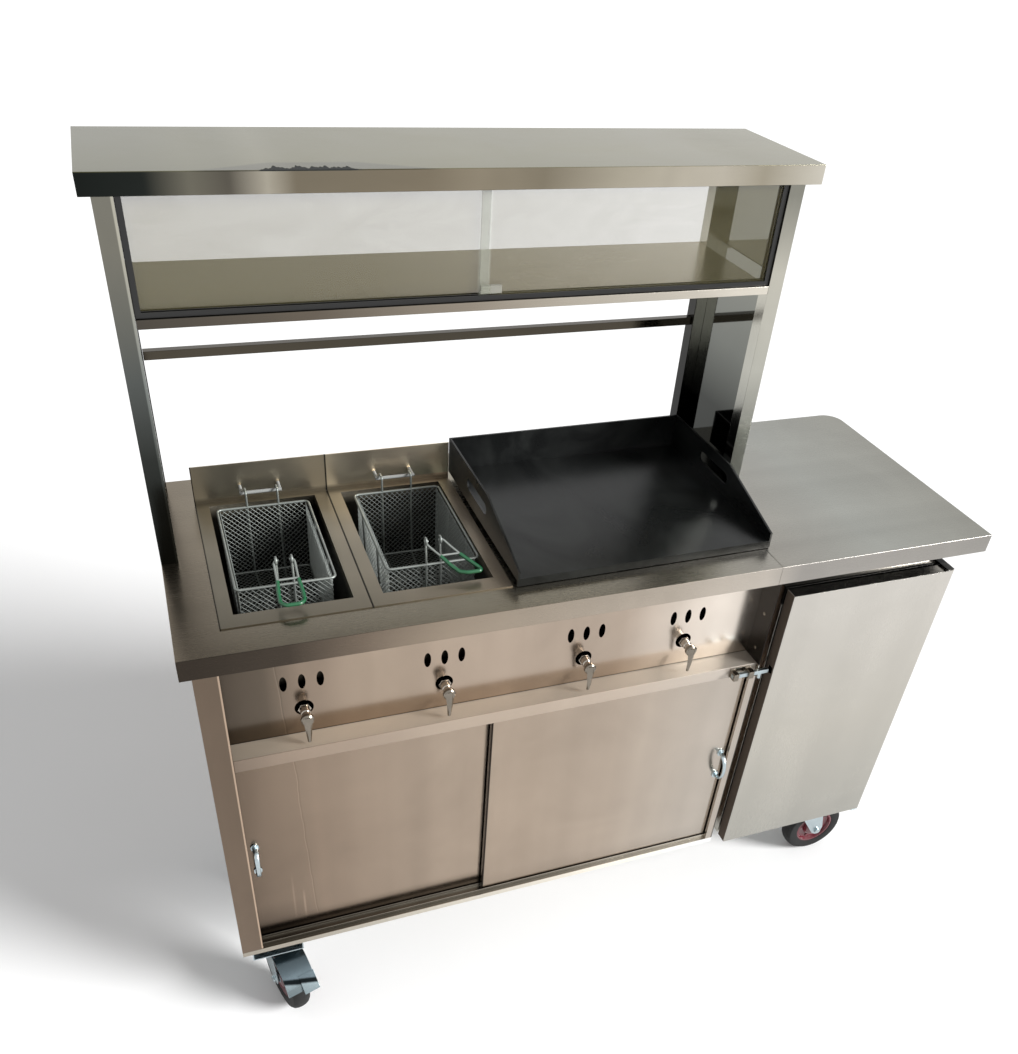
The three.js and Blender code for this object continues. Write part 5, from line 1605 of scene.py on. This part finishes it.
# The screws of a wheel's centre: how many, their circle and their seat as shares of the wheel, and
# how high their edge and their top stand as shares of a plain screw's height
WHEEL_SCREWS = 5
SCREW_CIRCLE_SHARE = 0.45
SCREW_SEAT_SHARE = 0.4
SCREW_EDGE_SHARE = 1.6
SCREW_TOP_SHARE = 2


def make_wheel(name):
    """A rubber tyre on a moulded centre, with screws and a cap over the axle on both sides."""
    s = sizes()
    centre = Vector(joint(f"{name}_roll")["pos_m"])
    radius = centre.z
    half = s.wheel_width / 2
    spin = facing(centre, joint(f"{name}_roll")["axis"])
    faces = [spin @ Matrix.Diagonal((1, 1, direction, 1)) for direction in (1, -1)]
    screw_head = [(0, 0), (s.screw_radius, 0), (s.screw_radius, s.screw_height * SCREW_EDGE_SHARE),
                  (0, s.screw_height * SCREW_TOP_SHARE)]

    def scaled(shares):
        return [(radius * r, half * h) for r, h in shares]

    def build_tyre(shape):
        outer = scaled(TYRE_SHARES)
        seat, edge = scaled([TYRE_SEAT_SHARES])[0]
        near = [(r, -h) for r, h in outer[:-1]]
        add_turned_ring(shape, [(seat, -edge), *near, *reversed(outer), (seat, edge)], spin, 64)

    def build_hub(shape):
        for face in faces:
            add_turned(shape, scaled(HUB_SHARES), face, 48)
            for x, y in ellipse(radius * SCREW_CIRCLE_SHARE, radius * SCREW_CIRCLE_SHARE, WHEEL_SCREWS):
                add_turned(shape, screw_head, face @ Matrix.Translation((x, y, half * SCREW_SEAT_SHARE)), 12)

    def build_cap(shape):
        for face in faces:
            add_turned(shape, scaled(CAP_SHARES), face, 24)

    rubber = linked(f"{name}_tyre", mesh_from("tyre", build_tyre))
    smooth(rubber.data, WHEEL_ANGLE)
    settled(rubber, f"{name}_wheel", "tyre_rubber", (f"{name}_wheel",))
    hub = linked(f"{name}_hub", mesh_from("hub", build_hub))
    smooth(hub.data, WHEEL_ANGLE)
    settled(hub, f"{name}_wheel", "wheel_hub")
    cap = linked(f"{name}_cap", mesh_from("cap", build_cap))
    smooth(cap.data)
    settled(cap, f"{name}_wheel", "zinc_plate")


class CART_OT_casters(bpy.types.Operator):
    """The casters with their base tubes, forks, wheels and the brake"""

    bl_idname = "food_cart.casters"
    bl_label = "Casters"

    def execute(self, context):
        for side in ("left", "right"):
            softened(f"{side}_base_tube", "cart", "zinc_plate")
        for name in CASTERS:
            softened(f"{name}_fork", f"{name}_fork", "zinc_plate")
            make_wheel(name)
        softened("front_left_brake", "front_left_brake", "zinc_plate", finish="brake_skin")
        return {"FINISHED"}


# Stage

# The photograph's frame and lens, in pixels
PHOTO_WIDTH = 1018
PHOTO_HEIGHT = 1054
PHOTO_FOCAL = 986.46
PHOTO_CENTRE = (529.1, 658.5)

# How far the camera sees, how high the lamp hangs, and the floor's faint clouds
CAMERA_REACH = 100
LAMP_HEIGHT = 3
FLOOR_SCALE = 3
FLOOR_SHADE = 0.02


def aim_camera():
    """The camera at the photograph's place, turns, focal length and picture centre."""
    s = sizes()
    corner = low("main_worktop")
    yaw, pitch, roll = s.camera_yaw, s.camera_pitch, s.camera_roll
    ahead = Vector((math.sin(yaw) * math.cos(pitch), math.cos(yaw) * math.cos(pitch), math.sin(pitch)))
    flat_right = Vector((math.cos(yaw), -math.sin(yaw), 0))
    flat_up = flat_right.cross(ahead)
    right = flat_right * math.cos(roll) + flat_up * math.sin(roll)
    up = flat_up * math.cos(roll) - flat_right * math.sin(roll)
    camera = bpy.data.cameras.new("photo_camera")
    seen = linked("photo_camera", camera)
    turned = Matrix((right, up, -ahead)).transposed().to_4x4()
    place = Vector((corner.x, corner.y, 0)) + Vector(s.camera_place)
    seen.matrix_world = Matrix.Translation(place) @ turned
    camera.sensor_fit = "AUTO"
    camera.lens = camera.sensor_width * PHOTO_FOCAL / PHOTO_HEIGHT
    camera.shift_x = (PHOTO_WIDTH / 2 - PHOTO_CENTRE[0]) / PHOTO_HEIGHT
    camera.shift_y = (PHOTO_CENTRE[1] - PHOTO_HEIGHT / 2) / PHOTO_HEIGHT
    camera.clip_end = CAMERA_REACH
    bpy.context.scene.camera = seen


def light_world():
    """Soft light all round. The camera and the mirroring and clear surfaces see it as white."""
    world = bpy.data.worlds.new("studio")
    world.use_nodes = True
    sky = Tree(world.node_tree)
    path = sky.node("ShaderNodeLightPath", {}, {})
    camera, mirrored, through = (Value(sky, path.outputs[f"Is {kind} Ray"])
                                 for kind in ("Camera", "Glossy", "Transmission"))
    white = sky.maths("MAXIMUM", sky.maths("MAXIMUM", camera, mirrored), through)
    dull, bright = (sky.value_of("ShaderNodeBackground", {}, {"Color": (1, 1, 1), "Strength": strength})
                    for strength in (sizes().sky_light, 1))
    choice = sky.value_of("ShaderNodeMixShader", {}, {0: white, 1: dull, 2: bright})
    sky.node("ShaderNodeOutputWorld", {}, {"Surface": choice})
    bpy.context.scene.world = world


class CART_OT_stage(bpy.types.Operator):
    """Pale floor, soft light and the photograph's camera"""

    bl_idname = "food_cart.stage"
    bl_label = "Stage"

    def execute(self, context):
        s = sizes()
        finish = Finish("pale_floor", Roughness=0.9, Specular_IOR_Level=0.0)
        grain = finish.noise(finish.place(), FLOOR_SCALE, detail=2)
        finish.set("Base Color", finish.shaded(colours().floor, 1 + FLOOR_SHADE * (grain - 0.5)))
        half = s.floor_size / 2
        mesh = bpy.data.meshes.new("floor")
        mesh.from_pydata([(-half, -half, 0), (half, -half, 0), (half, half, 0), (-half, half, 0)], [],
                         [(0, 1, 2, 3)])
        mesh.materials.append(finish.material)
        linked("floor", mesh)
        sun = bpy.data.lights.new("soft_sun", "SUN")
        sun.energy = s.sun_light
        sun.angle = s.sun_angle
        lamp = linked("soft_sun", sun)
        lamp.matrix_world = facing((0, 0, LAMP_HEIGHT), s.sun_from)
        light_world()
        aim_camera()
        context.scene.view_settings.view_transform = "Standard"
        return {"FINISHED"}


# Sizes and colours that a user would change

def size(label, words, value):
    return FloatProperty(name=label, description=words, default=value, unit="LENGTH", min=0, precision=5)


def paint(label, words, red, green, blue):
    return FloatVectorProperty(name=label, description=words, default=light(red, green, blue), size=3,
                               subtype="COLOR", min=0, max=1)


class CartSizes(bpy.types.PropertyGroup):
    """Sizes of the finishing work"""

    edge_round: size("Edge Round", "Radius of a deburred edge", 0.5 * MM)
    fold_round: size("Fold Round", "Outer radius of a folded edge", 1.2 * MM)
    sheet: size("Sheet", "Thickness of the sheet metal", 1.5 * MM)
    # Seam play: the room left round the black strip of painted shade between the splash plates
    seam_play: size("Seam Play", "Gap between a seam's seal and the sheets", 0.1 * MM)
    hem: size("Hem", "Width of the hem under a worktop's edge", 12 * MM)
    worktop_corner: size("Worktop Corner", "Radius of the side worktop's round corner", 30 * MM)
    slot_width: size("Slot Width", "Width of a vent slot", 10 * MM)
    slot_height: size("Slot Height", "Height of a vent slot", 25 * MM)
    slot_pitch: size("Slot Pitch", "Distance between vent slots", 24.6 * MM)
    slot_rise: size("Slot Rise", "Height of the slots above the valves", 46 * MM)
    valve_hole: size("Valve Hole", "Radius of the hole round a valve", 13 * MM)
    barrel: size("Valve Barrel", "Radius of a valve's barrel", 7 * MM)
    pipe_setback: size("Pipe Setback", "Distance of the gas pipe behind the panel", 36 * MM)
    jet_length: size("Jet Length", "Length of a gas jet", 18 * MM)
    lever_root: size("Lever Root", "Width of a lever at its hub", 14 * MM)
    lever_tip: size("Lever Tip", "Width of a lever at its tip", 5 * MM)
    lever_thickness: size("Lever Thickness", "Thickness of a lever", 5.5 * MM)
    rivet_radius: size("Rivet Radius", "Radius of a rivet head", 3 * MM)
    rivet_height: size("Rivet Height", "Height of a rivet head", 1.2 * MM)
    screw_radius: size("Screw Radius", "Radius of a screw head", 3.2 * MM)
    screw_height: size("Screw Height", "Height of a screw head", 1.6 * MM)
    pull_foot: size("Pull Foot", "Height of a door pull's foot", 11 * MM)
    pull_strap: size("Pull Strap", "Width of a door pull's strap", 8 * MM)
    pull_thickness: size("Pull Thickness", "Thickness of a door pull", 3 * MM)
    glass_track: size("Glass Track", "Height of the bottom glass track", 6.5 * MM)
    glass_side: size("Glass Side", "Depth of the side channels of the glass", 7 * MM)
    glass_fin: size("Glass Fin", "Thickness of a track's fin", 1.5 * MM)
    net_pitch: size("Net Pitch", "Distance between the wires of a basket", 5.5 * MM)
    net_wire: size("Net Wire", "Radius of a basket's net wire", 0.5 * MM)
    rim_wire: size("Rim Wire", "Radius of a basket's rim wire", 1.8 * MM)
    frame_wire: size("Frame Wire", "Radius of a basket's frame wires", 1.6 * MM)
    basket_length: size("Basket Length", "Length of a basket without its hooks", 208 * MM)
    basket_foot: size("Basket Foot", "Height of a basket's floor over its lowest wire", 18 * MM)
    basket_taper: size("Basket Taper", "How far the net stands in from the rim", 4 * MM)
    rack_rise: size("Rack Rise", "Height of the hooks' bend over the rim", 22 * MM)
    hook_spread: size("Hook Spread", "Distance between a basket's hooks", 44 * MM)
    hook_drop: size("Hook Drop", "How far a hook reaches down behind its rack", 6 * MM)
    eye_radius: size("Eye Radius", "Radius of the eye that holds the grip", 4.5 * MM)
    grip_rise: size("Grip Rise", "Height of the grip's pivot over the rim", 33 * MM)
    grip_spread: size("Grip Spread", "Distance between the grip's eyes", 20 * MM)
    grip_wire: size("Grip Wire", "Radius of the grip's wire", 1.6 * MM)
    grip_end: size("Grip End", "Width of the grip's loop", 30 * MM)
    sleeve: size("Sleeve", "Radius of the grip's sleeve", 2.6 * MM)
    wheel_width: size("Wheel Width", "Width of a wheel", 32 * MM)
    floor_size: size("Floor Size", "Side of the floor", 40)
    brush_lines: FloatProperty(name="Brush Lines", description="How fine the brush lines are", default=1400)
    cloud_scale: FloatProperty(name="Clouds", description="How close the handling clouds lie", default=5)
    sky_light: FloatProperty(name="Sky Light", description="Strength of the light all round", default=0.5)
    sun_light: FloatProperty(name="Sun Light", description="Strength of the soft main light", default=5.0)
    sun_angle: FloatProperty(name="Sun Angle", description="Apparent size of the main light",
                             default=math.radians(22), unit="ROTATION")
    sun_from: FloatVectorProperty(name="Sun From", description="Where the main light comes from",
                                  default=(0.66, -0.48, 0.40), size=3, subtype="DIRECTION")
    camera_place: FloatVectorProperty(
        name="Camera Place", description="Camera from the floor under the worktop's front left corner",
        default=(0.0322, -0.9596, 1.55), size=3, subtype="TRANSLATION", unit="LENGTH")
    camera_yaw: FloatProperty(name="Camera Yaw", description="Turn of the view to the right", default=0.407,
                              unit="ROTATION")
    camera_pitch: FloatProperty(name="Camera Pitch", description="Tilt of the view", default=-0.675,
                                unit="ROTATION")
    camera_roll: FloatProperty(name="Camera Roll", description="Roll of the view", default=0.091,
                               unit="ROTATION")


class CartColours(bpy.types.PropertyGroup):
    """Colours of the finishes"""

    # The crossbar's dark tone is painted shade and painted dark reflection
    crossbar: paint("Crossbar", "Bar behind the display", 74, 69, 60)
    channel: paint("Channel", "Channel between the body and the side cabinet", 150, 128, 110)
    zinc: paint("Zinc", "Zinc plate", 178, 190, 194)
    lever: paint("Lever", "Gas levers", 128, 121, 111)
    chrome: paint("Chrome", "Chrome plate", 168, 160, 150)
    wire: paint("Wire", "Plated wire of the baskets", 138, 143, 139)
    sleeve: paint("Sleeve", "Sleeve of the basket grips", 15, 86, 51)
    griddle: paint("Griddle", "Coated iron of the griddle", 9, 11, 11)
    griddle_sheen: paint("Griddle Sheen", "Rubbed patches of the griddle", 38, 40, 39)
    pane: paint("Pane", "Glass panes", 92, 86, 56)
    plastic: paint("Plastic", "Clear plastic of the small pull", 160, 160, 150)
    black: paint("Black", "Black plastic and rubber", 10, 10, 10)
    tyre: paint("Tyre", "Tyres", 13, 13, 13)
    hub: paint("Hub", "Wheel centres", 92, 10, 28)
    floor: paint("Floor", "Floor", 250, 250, 250)
    overlap: paint("Pane Overlap", "Where one glass pane stands behind the other", 150, 152, 138)
    gap: paint("Cabinet Gap", "Shaded edge of the cabinet door", 78, 66, 55)
    rack: paint("Basket Rack", "Wire racks of the fryer tanks", 150, 152, 150)
    film: paint("Torn Film", "Remnant of film on the canopy", 12, 16, 14)


class CART_PT_panel(bpy.types.Panel):
    """Lists the steps that finish the cart"""

    bl_idname = "CART_PT_panel"
    bl_label = "Food Cart"
    bl_space_type = "VIEW_3D"
    bl_region_type = "UI"
    bl_category = "Food Cart"

    def draw(self, context):
        for step in STEPS:
            self.layout.operator(step.bl_idname)
        for group in (context.scene.food_cart_sizes, context.scene.food_cart_colours):
            column = self.layout.column()
            for key in group.bl_rna.properties.keys():
                if key not in ("rna_type", "name"):
                    column.prop(group, key)


STEPS = (
    CART_OT_body, CART_OT_worktops, CART_OT_doors, CART_OT_gas, CART_OT_cabinet, CART_OT_display,
    CART_OT_fryers, CART_OT_baskets, CART_OT_griddle, CART_OT_casters, CART_OT_stage,
)
CLASSES = (CartSizes, CartColours, *STEPS, CART_PT_panel)


def register():
    for made in CLASSES:
        bpy.utils.register_class(made)
    bpy.types.Scene.food_cart_sizes = PointerProperty(type=CartSizes)
    bpy.types.Scene.food_cart_colours = PointerProperty(type=CartColours)


def unregister():
    del bpy.types.Scene.food_cart_sizes
    del bpy.types.Scene.food_cart_colours
    for made in reversed(CLASSES):
        bpy.utils.unregister_class(made)


def main():
    register()
    make_body_finishes()
    make_display_finishes()
    make_hardware_finishes()
    make_trees()
    bpy.ops.food_cart.body()
    bpy.ops.food_cart.worktops()
    bpy.ops.food_cart.doors()
    bpy.ops.food_cart.gas()
    bpy.ops.food_cart.cabinet()
    bpy.ops.food_cart.display()
    bpy.ops.food_cart.fryers()
    bpy.ops.food_cart.baskets()
    bpy.ops.food_cart.griddle()
    bpy.ops.food_cart.casters()
    bpy.ops.food_cart.stage()


if __name__ == "__main__":
    main()
